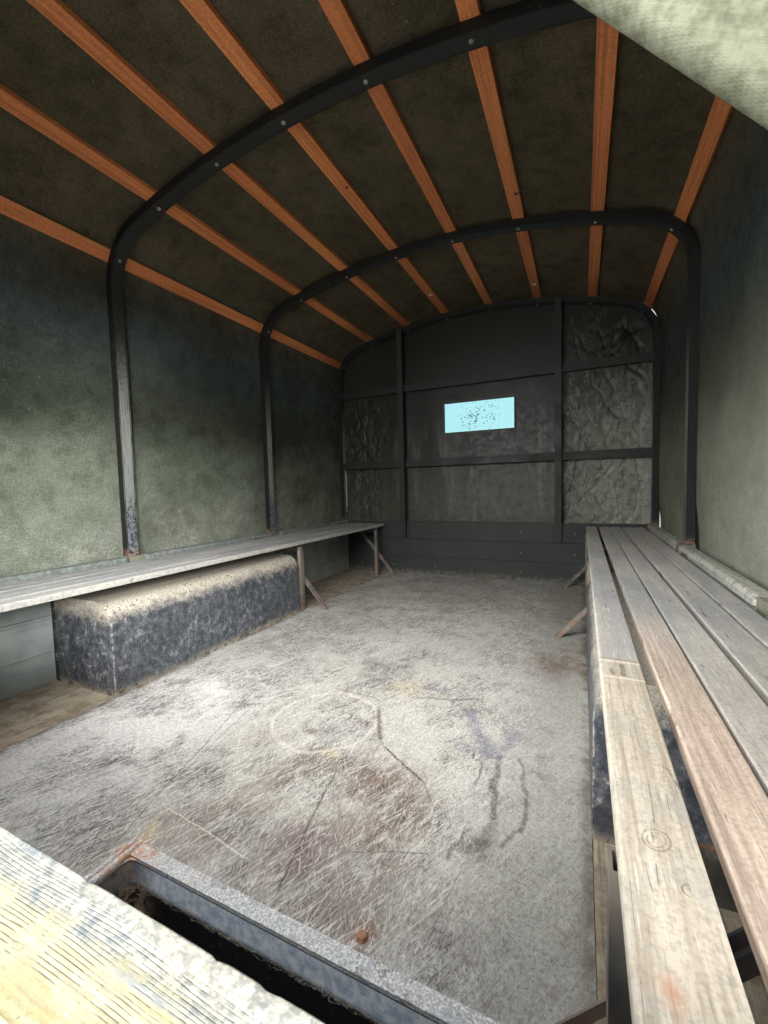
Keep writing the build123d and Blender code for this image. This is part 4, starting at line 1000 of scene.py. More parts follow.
def make_canvas(name, tints, shade, through, thread=0.0016, relief=0.0003, brushed=0.0, bias=0.0):
    """Woven cloth. The tints are pairs of a height and a colour, from the hem up."""
    f = Finish(name)
    cloth = f.coordinates.outputs["UV"]
    if bias:
        cloth = f.turned(bias, vector=cloth)
    slubs, lumps = weave_relief(f, cloth, thread)
    broad = f.noise(2.6, 5.0, 0.62)
    cloud = f.noise(13.0, 5.0, 0.65)
    grit = f.noise(170.0, 4.0, 0.75)
    height = f.math("ADD", f.z, f.wander(broad, 0.30))
    f.colour = tints[0][1]
    for (low, _), (high, tint) in zip(tints, tints[1:]):
        f.lay(tint, f.between(height, low, high))
    if brushed:
        low = f.under(f.z, FLOOR + 0.42, FLOOR + 0.86)
        patch = f.both(f.between(f.noise(5.0, 3.0, 0.65, vector=cloth), 0.44, 0.62), low, brushed)
        for turn in (0.5, -0.35, 1.2):
            marks = f.strokes(turn, 50, 5, 0.03, 9.0 + turn, cloth, 2.0)
            f.lay((186, 188, 176), marks, patch)
    for mask, share in (
        (f.between(broad, 0.32, 0.68), 0.5), (f.between(cloud, 0.40, 0.70), 0.5),
        (f.between(slubs, 0.84, 1.20), 0.3), (f.between(grit, 0.40, 0.64), 0.6),
    ):
        f.lay(shade, mask, share, blend="MULTIPLY")
    if brushed:
        # Partly real fading and partly painted light: the lower canvas on the right-hand side is paler.
        faded_and_lit = f.both(f.between(f.x, 0.0, 0.1), f.between(f.z, FLOOR + 1.3, FLOOR + 0.7), 0.28)
        f.lay((176, 180, 160), faded_and_lit)
        # Painted light: small pale specks stand for daylight through pinholes in the cloth.
        painted_pinhole_light = f.both(f.between(f.noise(75.0, 2.0, 0.5), 0.735, 0.75), brushed)
        f.lay((150, 150, 136), painted_pinhole_light)
    normal = f.bump(lumps, relief)
    return f.close(1.0, normal, through, Specular_IOR_Level=0.0)


# From the hem up: pale low down and dark higher up, partly real fading and dust, and partly painted light
# for the daylight that reaches only the lower canvas.
INSIDE_TINTS_AND_LIGHT = [
    (FLOOR + 0.42, (144, 149, 135)),
    (FLOOR + 0.72, (120, 127, 112)),
    (FLOOR + 1.00, (77, 82, 71)),
    (CROWN - 0.50, (86, 94, 92)),
    (CROWN - 0.12, (108, 98, 80)),
]
OUTSIDE_TINTS = [(FLOOR + 0.2, (112, 112, 90)), (CROWN, (94, 96, 76))]
PALE_TINTS = [(FLOOR, (119, 121, 104)), (CROWN, (119, 121, 104))]
SHADE = (0.42, 0.42, 0.38, 1.0)
EDGE_BIAS = 0.857
cover_inside = make_canvas("cover_inside", INSIDE_TINTS_AND_LIGHT, SHADE, 0.08, brushed=0.35)
cover_outside = make_canvas("cover_outside", OUTSIDE_TINTS, SHADE, 0.08)
pale_cloth = make_canvas(
    "pale_cloth", PALE_TINTS, SHADE, 0.15, thread=0.0011, relief=0.00018, bias=EDGE_BIAS,
)

# %% [markdown]
# The front curtain's cloth is rubber-coated, so it shines on its creases, and pale strokes
# on the creases and pale streaks low down are painted highlights. It is darkest under the
# roof, and palest at the right-hand side, partly rain-washed and partly painted light.

# %% Front curtain finish
def make_coated_canvas():
    f = Finish("coated_canvas")
    cloth = f.coordinates.outputs["UV"]
    slubs, lumps = weave_relief(f, cloth, 0.0022)
    broad = f.noise(3.4, 5.0, 0.62)
    streaks = f.noise(1.0, 4.0, 0.6, f.turned(scale=(16, 1, 2.0)))
    cloud = f.noise(22.0, 5.0, 0.65)
    fine = f.noise(150.0, 5.0, 0.75)
    height = f.math("ADD", f.z, f.wander(broad, 0.4))
    f.start(f.between(height, FLOOR + 0.45, FLOOR + 1.05), (74, 74, 62), (33, 33, 27))
    # Partly rain-washed paint and partly painted light: the right-hand side is paler.
    washed_and_lit = f.both(f.between(f.x, 0.46, 0.95), f.between(height, FLOOR + 1.55, FLOOR + 0.7))
    f.lay((176, 176, 161), washed_and_lit, 0.85)
    f.lay((52, 52, 44), f.between(f.x, -0.62, -0.95, 0.0, 0.45))
    # Painted highlights: pale vertical streaks low down on the cloth.
    lower = f.between(f.z, FLOOR + 1.15, FLOOR + 0.9)
    f.lay((118, 116, 102), lower, f.between(streaks, 0.48, 0.68), 0.5)
    f.lay((34, 33, 28), f.between(cloud, 0.46, 0.66, 0.0, 0.5))
    # Painted highlights: pale squiggly strokes on the creases, mostly at the right-hand side.
    highlight_creases = f.both(
        f.math("MAXIMUM", f.between(f.x, 0.45, 0.62), f.between(f.x, -0.62, -0.80, 0.0, 0.45)),
        f.between(cloud, 0.40, 0.56),
    )
    highlight_creases = f.both(highlight_creases, f.between(f.z, FLOOR + 1.50, FLOOR + 1.10, 0.25, 1.0))
    for turn, shift in ((0.15, 2.0), (-0.30, 6.0)):
        painted_crease_highlight = f.strokes(turn, 11, 3.2, 0.016, shift, cloth, 2.0)
        f.lay((176, 176, 164), painted_crease_highlight, highlight_creases, 0.45)
    f.lay((30, 29, 25), f.between(slubs, 0.84, 1.2, 0.0, 0.3))
    f.lay((28, 27, 24), f.between(fine, 0.42, 0.62, 0.0, 0.4))
    f.lay((140, 138, 124), f.between(fine, 0.70, 0.74), 0.5)
    rough = f.between(cloud, 0.3, 0.7, 0.34, 0.52)
    return f.close(rough, f.bump(f.math("ADD", lumps, fine), 0.0003), 0.05, Specular_IOR_Level=0.4)


front_cloth = make_coated_canvas()

# %% [markdown]
# The cover lies on the battens and sags a little between them. Down the sides it drops
# close to the hoops, billows between them, and stands out again round the sockets near the
# hem. Its points are worked out from those rules, and noise adds the soft unevenness of
# old canvas. A cloth simulation would find nearly the same shape, since the sheet is held
# all round; the rules are quicker and give the same result each time.

# %% The cover
COVER_LOW, COVER_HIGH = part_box("canopy")
CLOTH = 0.0016
ON_BATTENS = 0.0380  # outside the hoop line, where a batten carries the cloth
BATTEN_HALF = 0.034  # the cloth doesn't sink this close to a batten's middle
SAG = 0.0065  # between two battens 0.3 m apart
ALONG_HOOPS, BILLOW = 0.0175, 0.009  # on the sides, and how much more between hoops
SOCKET_ZONE = (FLOOR + 0.40, FLOOR + 0.58)
COVER_RUN = ROOF_RUN + BEND_RUN + BEND_Z - COVER_LOW.z


def cover_offset(run, y, z):
    """How far the cover lies outside the hoop line."""
    far = abs(run)
    near_hoop = min(abs(y - hoop) for hoop in HOOPS)
    between_hoops = smooth(near_hoop, 0.03, 0.40)
    offset = ON_BATTENS
    for low, high in zip(BATTEN_RUNS, BATTEN_RUNS[1:]):
        if low <= run <= high:
            share = (run - low) / (high - low)
            sag = SAG * min((high - low) / 0.3, 1.0)
            offset -= sag * (1 - math.cos(2 * math.pi * share)) / 2 * (0.45 + 0.55 * between_hoops)
    last = BATTEN_RUNS[-1] if run > 0 else -BATTEN_RUNS[0]
    beyond = smooth(far, last + 0.028, last + 0.17)
    close = ALONG_HOOPS + BILLOW * between_hoops
    side = close + (ON_BATTENS - close) * (1 - smooth(z, *SOCKET_ZONE))
    offset += (side - offset) * beyond
    looseness = 0.0015 + 0.0035 * beyond * between_hoops
    x = 1.0 if run > 0 else -1.0
    offset += looseness * ripple(x, y, z, 3.2, 5.3) + 0.4 * looseness * ripple(x, y * 2, z, 9.0, 1.7)
    drag = beyond * smooth(z, FLOOR + 0.75, FLOOR + 0.42) * between_hoops
    offset += 0.002 * drag * ripple(x, y * 3 + z, z * 0.6, 7.0, 8.1)
    offset += 0.002 * math.exp(-((far - last - 0.022) / 0.022) ** 2)
    least = 0.0168 if z > FLOOR + 0.42 else ON_BATTENS - 0.001
    if min(abs(run - batten) for batten in BATTEN_RUNS) < BATTEN_HALF:
        least = ON_BATTENS
    return max(offset, least)


def make_cover():
    across, along = 210, 120
    low_y, high_y = COVER_LOW.y + 0.001, COVER_HIGH.y - 0.001
    points, lengths = [], []
    for i in range(across + 1):
        run = COVER_RUN * (2 * i / across - 1)
        x, z, out_x, out_z = walk(run)
        row, cut = [], []
        for j in range(along + 1):
            y = low_y + (high_y - low_y) * j / along
            offset = cover_offset(run, y, z)
            row.append((x + offset * out_x, y, z + offset * out_z))
            cut.append((run, y))
        points.append(row)
        lengths.append(cut)
    cover = grid_mesh("cover", points, lengths)
    area = cloth_area(cover)
    cover.data.materials.append(cover_inside)
    cover.data.materials.append(cover_outside)
    thicken(cover, CLOTH, inner=True)
    return cover, area


cover, cover_area = make_cover()
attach(cover, "bed")
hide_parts("canopy")

# %% [markdown]
# The front curtain closes the cab end. It is coated cloth that has shrunk and creased, so
# it shines on the ridges of its wrinkles. A grid fills the arch; its rows are level up to
# the window and then stretch to the roof line. Wrinkles are noise stretched upward, and
# stronger at the right-hand side.

# %% The front curtain
CURTAIN_LOW, CURTAIN_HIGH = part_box("front_curtain")
CURTAIN_Y = (CURTAIN_LOW.y + CURTAIN_HIGH.y) / 2
WINDOW_LOW, WINDOW_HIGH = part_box("front_window")
INSIDE_COVER = 0.0345
STRIP_X, STRIP_HALF = 0.875, 0.022  # a sewn strip with turn buttons
STRIP_Z = (FLOOR + 0.375, FLOOR + 1.355)
BUTTONS_Z = (0.630, 0.996, 1.349)
CREASES = [  # lean, scale, seed, share
    (0.35, 4.4, 9.4, 0.7), (-0.75, 6.5, 2.7, 0.8), (1.6, 6.0, 5.2, 0.6), (0.0, 9.0, 1.2, 0.4),
]


def arch_height(x, offset):
    """Height of the hoop line, moved out by offset, above a point across the truck."""
    half, bend, roof, bend_x, roof_z, bend_z, lean = arch_numbers(offset)
    far = min(abs(x), half)
    if far <= roof * math.sin(lean):
        return roof_z + math.sqrt(roof ** 2 - far ** 2)
    return bend_z + math.sqrt(max(bend ** 2 - (far - bend_x) ** 2, 0.0))


def curtain_fold(x, z):
    """How far the front curtain stands forward of its middle plane."""
    right = smooth(x, 0.45, 0.75)
    edge = 1 - smooth(abs(x), HALF_SPREAD - 0.10, HALF_SPREAD - 0.02)
    top = 1 - smooth(z, arch_height(x, 0) - 0.16, arch_height(x, 0) - 0.05)
    window = 1.0
    if WINDOW_LOW.x - 0.05 < x < WINDOW_HIGH.x + 0.05 and WINDOW_LOW.z - 0.05 < z < WINDOW_HIGH.z + 0.05:
        window = 0.25
    left = smooth(-x, 0.60, 0.85)
    strip = -0.0012 * smooth(STRIP_HALF + 0.003 - abs(x - STRIP_X), 0.0, 0.004)
    strip *= smooth(z, STRIP_Z[0] - 0.01, STRIP_Z[0])
    strip *= smooth(-z, -STRIP_Z[1] - 0.01, -STRIP_Z[1])
    amount = (0.0035 + 0.006 * right + 0.003 * left) * window * min(edge, top)
    amount *= 1 - 0.6 * smooth(z, FLOOR + 1.28, FLOOR + 1.40) * (1 - smooth(x, 0.76, 0.86))
    slow = ripple(x * 1.6 + 0.25 * z, 0, z * 0.45, 4.2, 3.1)
    fold = 0.9 * slow + 0.14 * ripple(x, 0, z, 21.0, 6.2)
    for lean, scale, seed, share in CREASES:
        line = ripple(x * 1.5 - lean * z + 0.05 * ripple(x, 0, z, 14.0, seed), 0, z * 0.5, scale, seed)
        fold += share * (0.2 + right + 0.6 * left) * max(0.0, 1 - 9 * abs(line)) ** 1.5
    return amount * fold + strip


def spaced(values, step):
    """Points from the first value to the last that hit every value given."""
    result = [values[0]]
    for low, high in zip(values, values[1:]):
        count = max(1, round((high - low) / step))
        result += [low + (high - low) * k / count for k in range(1, count + 1)]
    return result


def make_front_curtain():
    reach = HALF_SPREAD + INSIDE_COVER
    middle = [-0.60, WINDOW_LOW.x, WINDOW_HIGH.x, 0.45]  # coarser, where the cloth is nearly flat
    columns = spaced([-reach + 0.004, middle[0]], 0.009)[:-1] + spaced(middle, 0.016)[:-1]
    columns += spaced([middle[-1], reach - 0.004], 0.0065)
    level = spaced([CURTAIN_LOW.z + 0.001, WINDOW_LOW.z, WINDOW_HIGH.z], 0.010)
    upper = 50
    points, lengths = [], []
    for x in columns:
        top = arch_height(x, INSIDE_COVER - 0.003)
        slit = 0.007 * math.exp(-((x + 0.07) / 0.06) ** 2)
        side_z = level[-1]
        heights = level + [side_z + (top - slit - side_z) * k / upper for k in range(1, upper + 1)]
        points.append([(x, CURTAIN_Y + curtain_fold(x, z), z) for z in heights])
        lengths.append([(x, z) for z in heights])
    glass = [
        (i, j)
        for i in range(len(columns) - 1)
        for j in range(len(level) - 1)
        if WINDOW_LOW.x < (columns[i] + columns[i + 1]) / 2 < WINDOW_HIGH.x
        and WINDOW_LOW.z < (level[j] + level[j + 1]) / 2 < WINDOW_HIGH.z
    ]
    hole = set(glass)
    curtain = grid_mesh("front_cloth", points, lengths, lambda i, j: (i, j) in hole)
    drop_loose(curtain)
    area = cloth_area(curtain)
    curtain.data.materials.append(front_cloth)
    thicken(curtain, CLOTH)
    return curtain, area


front, front_area = make_front_curtain()
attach(front, "bed")
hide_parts("front_curtain")

# %% [markdown]
# The window is a sheet of clear vinyl, welded behind the canvas and gone a pale blue with
# age. It is slightly buckled, and spotted with dirt. A transparent shader shows what lies
# beyond, and a thin gloss sits over it.

# %% The window
def make_vinyl():
    f = Finish("vinyl")
    spots = f.noise(75.0, 1.0, 0.5)
    streak = f.noise(1.0, 4.0, 0.6, f.turned(scale=(30, 1, 110)))
    clear = f.node("ShaderNodeBsdfTransparent", {"Color": (0.70, 0.965, 0.995, 1.0)})
    film = f.mix(f.between(streak, 0.35, 0.65), (170, 216, 226), (220, 246, 250))
    surface = f.node("ShaderNodeBsdfPrincipled", {"Base Color": film, "Roughness": 0.25})
    dirt = f.node("ShaderNodeBsdfPrincipled", {"Base Color": (76, 100, 100), "Roughness": 0.9})
    pane = f.node("ShaderNodeMixShader", {0: 0.06, 1: clear.outputs[0], 2: surface.outputs[0]})
    middle = (WINDOW_LOW + WINDOW_HIGH) / 2
    across = f.math("ABSOLUTE", f.math("SUBTRACT", f.x, middle.x))
    upward = f.math("ABSOLUTE", f.math("SUBTRACT", f.z, middle.z))
    inside = f.both(f.under(across, 0.08, 0.16), f.between(upward, 0.03, 0.07, 1.0, 0.2))
    spotted = f.both(f.between(spots, 0.62, 0.66), inside, 0.8)
    both = f.node("ShaderNodeMixShader", {0: spotted, 1: pane.outputs[0], 2: dirt.outputs[0]})
    out = f.node("ShaderNodeOutputMaterial")
    f.tree.links.new(both.outputs[0], out.inputs["Surface"])
    return f.material


PANE_THICK = 0.0008
PANE_LAP = 0.012


def make_window():
    lap = PANE_LAP
    columns = spaced([WINDOW_LOW.x - lap, WINDOW_HIGH.x + lap], 0.012)
    rows = spaced([WINDOW_LOW.z - lap, WINDOW_HIGH.z + lap], 0.012)
    behind = CLOTH / 2 + 0.0009
    points = []
    for x in columns:
        line = []
        for z in rows:
            inside = min(x - columns[0], columns[-1] - x, z - rows[0], rows[-1] - z)
            buckle = 0.004 * smooth(inside, lap, 0.08) * (1 + ripple(x * 2, 0, z, 7.0, 2.2)) / 2
            line.append((x, CURTAIN_Y + curtain_fold(x, z) + behind + buckle, z))
        points.append(line)
    pane = grid_mesh("window_pane", points, [[(x, z) for z in rows] for x in columns])
    pane.data.materials.append(make_vinyl())
    thicken(pane, PANE_THICK)
    return pane


window = make_window()
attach(window, "bed")
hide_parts("front_window")
print("window pane:", len(window.data.polygons), "faces")

# %% [markdown]
# Each rear curtain is drawn aside: its lower inner corner is folded back up behind it, so
# that the free edge runs straight from the crown to the corner of the body. The sheet is
# therefore two layers with a soft roll at the fold. Rows of the grid are level; each runs
# from the cut edge of the back layer, round the roll, and out to the arch.

# %% The rear curtains
BACK_LOW, BACK_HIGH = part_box("rear_curtain_right")
FOLD_TOP = (BACK_LOW.x, CROWN - 0.245)
FOLD_FOOT = (1.006, BACK_LOW.z)
FRONT_LAYER = BACK_LOW.y + 0.008
ROLL = 0.0045  # the bend's radius at the fold
BACK_SHARE = 0.62  # how much of the front layer the back layer covers
FRONT_COUNT, ROLL_COUNT, BACK_COUNT = 44, 8, 26


def fold_x(z):
    """Where the folded edge lies at a height."""
    if z >= FOLD_TOP[1]:
        return FOLD_TOP[0]
    share = (z - FOLD_FOOT[1]) / (FOLD_TOP[1] - FOLD_FOOT[1])
    return FOLD_FOOT[0] + (FOLD_TOP[0] - FOLD_FOOT[0]) * share


def arch_reach(z, offset):
    """How far out the hoop line, moved by offset, lies at a height."""
    half, bend, roof, bend_x, roof_z, bend_z, lean = arch_numbers(offset)
    if z <= bend_z:
        return half
    if z <= roof_z + roof * math.cos(lean):
        return bend_x + math.sqrt(max(bend ** 2 - (z - bend_z) ** 2, 0.0))
    return math.sqrt(max(roof ** 2 - (z - roof_z) ** 2, 0.0))


def rim_offset(side, z):
    """How far outside the hoop line a rear curtain ends, just inside the cover's rear edge."""
    if z <= BEND_Z:
        run = ROOF_RUN + BEND_RUN + BEND_Z - z
    elif z <= BEND_Z + BEND0 * math.cos(LEAN):
        run = ROOF_RUN + BEND0 * (math.acos((z - BEND_Z) / (BEND0 + 0.03)) - LEAN)
    else:
        run = ROOF0 * math.acos(min((z - ROOF_Z) / (ROOF0 + 0.034), 1.0))
    return cover_offset(side * run, COVER_LOW.y + 0.004, z) - CLOTH - 0.001


def make_rear_curtain(side):
    heights = spaced([BACK_LOW.z + 0.001, FOLD_TOP[1], CROWN - 0.07], 0.016)
    heights += spaced([CROWN - 0.07, CROWN + rim_offset(side, CROWN + 0.034)], 0.005)[1:]
    points, lengths = [], []
    for z in heights:
        inner = fold_x(z) + ROLL
        outer = max(arch_reach(z, rim_offset(side, z)), inner + 0.01)
        row, cut = [], []
        for k in range(BACK_COUNT):
            share = 1 - k / BACK_COUNT
            x = inner + BACK_SHARE * (outer - inner) * share
            wave = 0.003 * ripple(x * 2, side, z, 3.0, 4.4)
            row.append((side * x, FRONT_LAYER + 2 * ROLL + wave, z))
            cut.append((-(x - inner), z))
        for k in range(ROLL_COUNT + 1):
            angle = math.pi * k / ROLL_COUNT
            x = inner - ROLL * math.sin(angle)
            row.append((side * x, FRONT_LAYER + ROLL + ROLL * math.cos(angle), z))
            cut.append((ROLL * angle, z))
        for k in range(1, FRONT_COUNT + 1):
            share = k / FRONT_COUNT
            x = inner + (outer - inner) * share
            across = (x - inner) * 0.8 + z * 0.55
            wave = 0.004 * smooth(share, 0, 0.15) * ripple(across * 2, side, z * 0.3, 4.0, 7.7)
            wave -= 0.003 * math.sin(9 * across) * smooth(share, 0, 0.2)
            row.append((side * x, FRONT_LAYER + wave, z))
            cut.append((math.pi * ROLL + x - inner, z))
        points.append(row)
        lengths.append(cut)
    name = "rear_cloth_right" if side > 0 else "rear_cloth_left"
    curtain = grid_mesh(name, points, lengths)
    area = cloth_area(curtain)
    curtain.data.materials.append(pale_cloth)
    thicken(curtain, CLOTH)
    return curtain, area


for side, hand in ((1, "right"), (-1, "left")):
    curtain, area = make_rear_curtain(side)
    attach(curtain, "bed")
    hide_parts(f"rear_curtain_{hand}")

# %% [markdown]
# The tailgate's top rail is bare softwood, bleached and split along its grain, with chips
# out of the inner edge and lichen along it. Close to the camera a flat bar would look like
# card, so the rail is a fine mesh: a rounded section drawn along the truck's width, with
# grooves cut into it by noise squeezed along the grain, never proud of the real size.

# %% Tailgate top rail
RAIL_LOW, RAIL_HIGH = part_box("tailgate_cap")
RAIL_ROUND = 0.0016
CHIPS = [  # place along the rail, half length, depth
    (0.255, 0.006, 0.0020), (0.395, 0.005, 0.0015), (0.503, 0.003, 0.0018), (0.535, 0.004, 0.0016),
    (0.050, 0.010, 0.0025), (-0.20, 0.006, 0.0030), (-0.42, 0.012, 0.0040), (0.62, 0.005, 0.0020),
    (0.155, 0.005, 0.0015),
]
CHIPPED = 0.010  # how far in from the inner top edge the chips reach
GRAIN_DEPTH, PORE_DEPTH = 0.0005, 0.0002


def make_rail_wood():
    f = Finish("rail_wood")
    sway = f.noise(1.0, 3.0, 0.5, f.turned(scale=(2.6, 9, 0)))
    moved = f.math("MULTIPLY_ADD", sway, 0.022, f.y)
    swayed = f.node("ShaderNodeCombineXYZ", {0: f.x, 1: moved, 2: f.z}).outputs[0]
    across = f.node("ShaderNodeSeparateXYZ", {0: swayed}).outputs[1]
    drift = f.math("MULTIPLY", f.noise(1.0, 3.0, 0.6, f.turned(scale=(4, 60, 0))), 15.0)
    waves = f.math("SINE", f.math("MULTIPLY_ADD", across, 2900.0, drift))
    bands = f.noise(1.0, 2.0, 0.5, f.turned(scale=(0.8, 34, 0), vector=swayed))
    fine = f.noise(1.0, 4.0, 0.66, f.turned(scale=(22, 460, 0)))
    broad = f.noise(1.0, 4.0, 0.6, f.turned(scale=(5, 34, 0), vector=swayed))
    spots = f.noise(170.0, 6.0, 0.80)
    coarse = f.noise(34.0, 6.0, 0.74)
    lines = f.both(
        f.between(waves, 0.15, 0.80), f.between(bands, 0.49, 0.58),
        f.between(coarse, 0.44, 0.56, 0.05, 1.0),
    )
    f.start(f.between(broad, 0.36, 0.60), (182, 174, 134), (196, 191, 165))
    f.lay((168, 158, 124), f.between(spots, 0.40, 0.62, 0.0, 0.4))
    f.lay(
        (204, 166, 104),
        f.between(f.noise(1.0, 3.0, 0.6, f.turned(scale=(7, 24, 0), shift=(5, 0, 0))), 0.55, 0.66), 0.6,
    )
    f.lay((160, 150, 118), f.between(fine, 0.55, 0.66), 0.4)
    f.lay((144, 132, 100), lines, 0.55)
    smear = f.between(
        f.noise(1.0, 3.0, 0.55, f.turned(scale=(2.2, 30, 0), shift=(3, 0, 0), vector=swayed)), 0.56, 0.62,
    )
    f.lay((148, 154, 158), smear, f.between(spots, 0.34, 0.50, 0.5, 1.0), 0.85)
    from_edge = f.math("ADD", f.y, f.wander(coarse, 0.04))
    inner = f.between(from_edge, RAIL_HIGH.y - 0.030, RAIL_HIGH.y - 0.016)
    bleached = f.mix(f.between(spots, 0.40, 0.60), (198, 197, 186), (146, 149, 147))
    f.lay(bleached, inner, 0.85)
    mottled = f.noise(90.0, 6.0, 0.78)
    lichen = f.both(inner, f.between(coarse, 0.50, 0.62), f.between(mottled, 0.44, 0.56))
    f.lay((118, 128, 136), lichen, 0.7)
    f.lay((96, 88, 72), f.between(spots, 0.62, 0.68), 0.6)
    low = f.under(f.z, RAIL_HIGH.z - 0.030, RAIL_HIGH.z - 0.010)
    f.lay((184, 178, 164), low, 0.5)
    height = f.math(
        "SUBTRACT", f.math("MULTIPLY_ADD", fine, 0.3, f.math("MULTIPLY", spots, 0.6)),
        f.math("MULTIPLY", lines, 0.35),
    )
    return f.close(0.9, f.bump(height, 0.0009), Specular_IOR_Level=0.2)


def rail_section():
    """The rail's outline across, as points with their outward directions and distance round."""
    corners = [
        (RAIL_HIGH.y - RAIL_ROUND, RAIL_HIGH.z - RAIL_ROUND, 0.0),
        (RAIL_LOW.y + RAIL_ROUND, RAIL_HIGH.z - RAIL_ROUND, 90.0),
        (RAIL_LOW.y + RAIL_ROUND, RAIL_LOW.z + RAIL_ROUND, 180.0),
        (RAIL_HIGH.y - RAIL_ROUND, RAIL_LOW.z + RAIL_ROUND, 270.0),
    ]
    outline = []
    for number, (y, z, start) in enumerate(corners):
        for k in range(5):
            angle = math.radians(start + 90 * k / 4)
            out = (math.cos(angle), math.sin(angle))
            outline.append((y + RAIL_ROUND * out[0], z + RAIL_ROUND * out[1], *out))
        after = corners[(number + 1) % 4]
        angle = math.radians(start + 90)
        out = (math.cos(angle), math.sin(angle))
        steps = 24 if number in (0, 2) else 14
        y0, z0 = y + RAIL_ROUND * out[0], z + RAIL_ROUND * out[1]
        y1, z1 = after[0] + RAIL_ROUND * out[0], after[1] + RAIL_ROUND * out[1]
        for k in range(1, steps):
            outline.append((y0 + (y1 - y0) * k / steps, z0 + (z1 - z0) * k / steps, *out))
    return outline


def make_rail():
    outline = rail_section()
    stations = spaced([RAIL_LOW.x, -0.45, 0.65, RAIL_HIGH.x], 0.004)
    vertices, faces = [], []
    for x in stations:
        for y, z, out_y, out_z in outline:
            split = 1 - abs(ripple(x * 0.03, y * 7, z * 7, 30.0, 3.3)) * 7
            depth = GRAIN_DEPTH * max(split, 0) + PORE_DEPTH * (1 + ripple(x, y * 3, z * 3, 60.0, 1.1))
            top_inner = smooth(y, RAIL_HIGH.y - CHIPPED, RAIL_HIGH.y)
            top_inner *= smooth(z, RAIL_HIGH.z - CHIPPED, RAIL_HIGH.z)
            for place, length, bite in CHIPS:
                shape = math.exp(-((x - place) / length) ** 2)
                depth += bite * shape * top_inner * (0.7 + 0.3 * ripple(x, y, z, 90.0, 2.0))
            vertices.append((x, y - depth * out_y, z - depth * out_z))
    ring = len(outline)
    for i in range(len(stations) - 1):
        for j in range(ring):
            a, b = i * ring + j, i * ring + (j + 1) % ring
            faces.append((a, b, b + ring, a + ring))
    faces.append(tuple(reversed(range(ring))))
    faces.append(tuple(range((len(stations) - 1) * ring, len(stations) * ring)))
    mesh = bpy.data.meshes.new("tailgate_rail")
    mesh.from_pydata(vertices, [], faces)
    mesh.validate()
    for polygon in mesh.polygons:
        polygon.use_smooth = len(polygon.vertices) == 4
    mesh.materials.append(make_rail_wood())
    return add_object("tailgate_rail", mesh)


rail = make_rail()
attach(rail, "tailgate")
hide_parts("tailgate_cap")
print("tailgate rail:", len(rail.data.polygons), "faces")

# %% [markdown]
# ## Fastenings and stitches
# Bolts, rivets, screws, eyelets and stitches are small shapes that repeat many times. They
# could be copied by hand or by an array, but Geometry Nodes set them from bare points or
# along a line, so that moving one is a matter of one number. Each tree is built here: its
# sizes are named inputs, anything random has a fixed seed, and it ends in real geometry.

# %% A helper for node trees that repeat a shape
class Repeater:
    """A Geometry Nodes tree whose named inputs remember the values that they get."""

    def __init__(self, name):
        self.group = bpy.data.node_groups.new(name, "GeometryNodeTree")
        self.group.interface.new_socket("Geometry", in_out="INPUT", socket_type="NodeSocketGeometry")
        self.group.interface.new_socket("Geometry", in_out="OUTPUT", socket_type="NodeSocketGeometry")
        self.given = self.group.nodes.new("NodeGroupInput")
        self.values = {}

    def ask(self, name, kind, value):
        """A named input of the tree."""
        socket = self.group.interface.new_socket(name, in_out="INPUT", socket_type="NodeSocket" + kind)
        self.values[socket.identifier] = value
        return self.given.outputs[name]

    def add(self, kind, inputs=None, **settings):
        made = self.group.nodes.new(kind)
        for key, value in settings.items():
            setattr(made, key, value)
        for key, value in (inputs or {}).items():
            if isinstance(value, bpy.types.NodeSocket):
                self.group.links.new(value, made.inputs[key])
            else:
                made.inputs[key].default_value = value
        return made

    def place(self, piece, instances, finish):
        """End the tree in real geometry with its finish, and turn the piece into that mesh."""
        solid = self.add("GeometryNodeRealizeInstances", {"Geometry": instances}).outputs[0]
        wanted = {"Geometry": solid, "Material": self.ask("Finish", "Material", finish)}
        self.add("NodeGroupOutput", {0: self.add("GeometryNodeSetMaterial", wanted).outputs[0]})
        modifier = piece.modifiers.new(self.group.name, "NODES")
        modifier.node_group = self.group
        for identifier, value in self.values.items():
            modifier[identifier] = value
        bake(piece)
        print(piece.name, len(piece.data.polygons), "faces")


def bare(name, points, edges=(), facings=()):
    """Points without faces, each with the direction that its fastening looks in."""
    mesh = bpy.data.meshes.new(name)
    mesh.from_pydata(points, edges, [])
    if facings:
        facing = mesh.attributes.new("facing", "FLOAT_VECTOR", "POINT")
        facing.data.foreach_set("vector", [value for way in facings for value in way])
    return add_object(name, mesh)


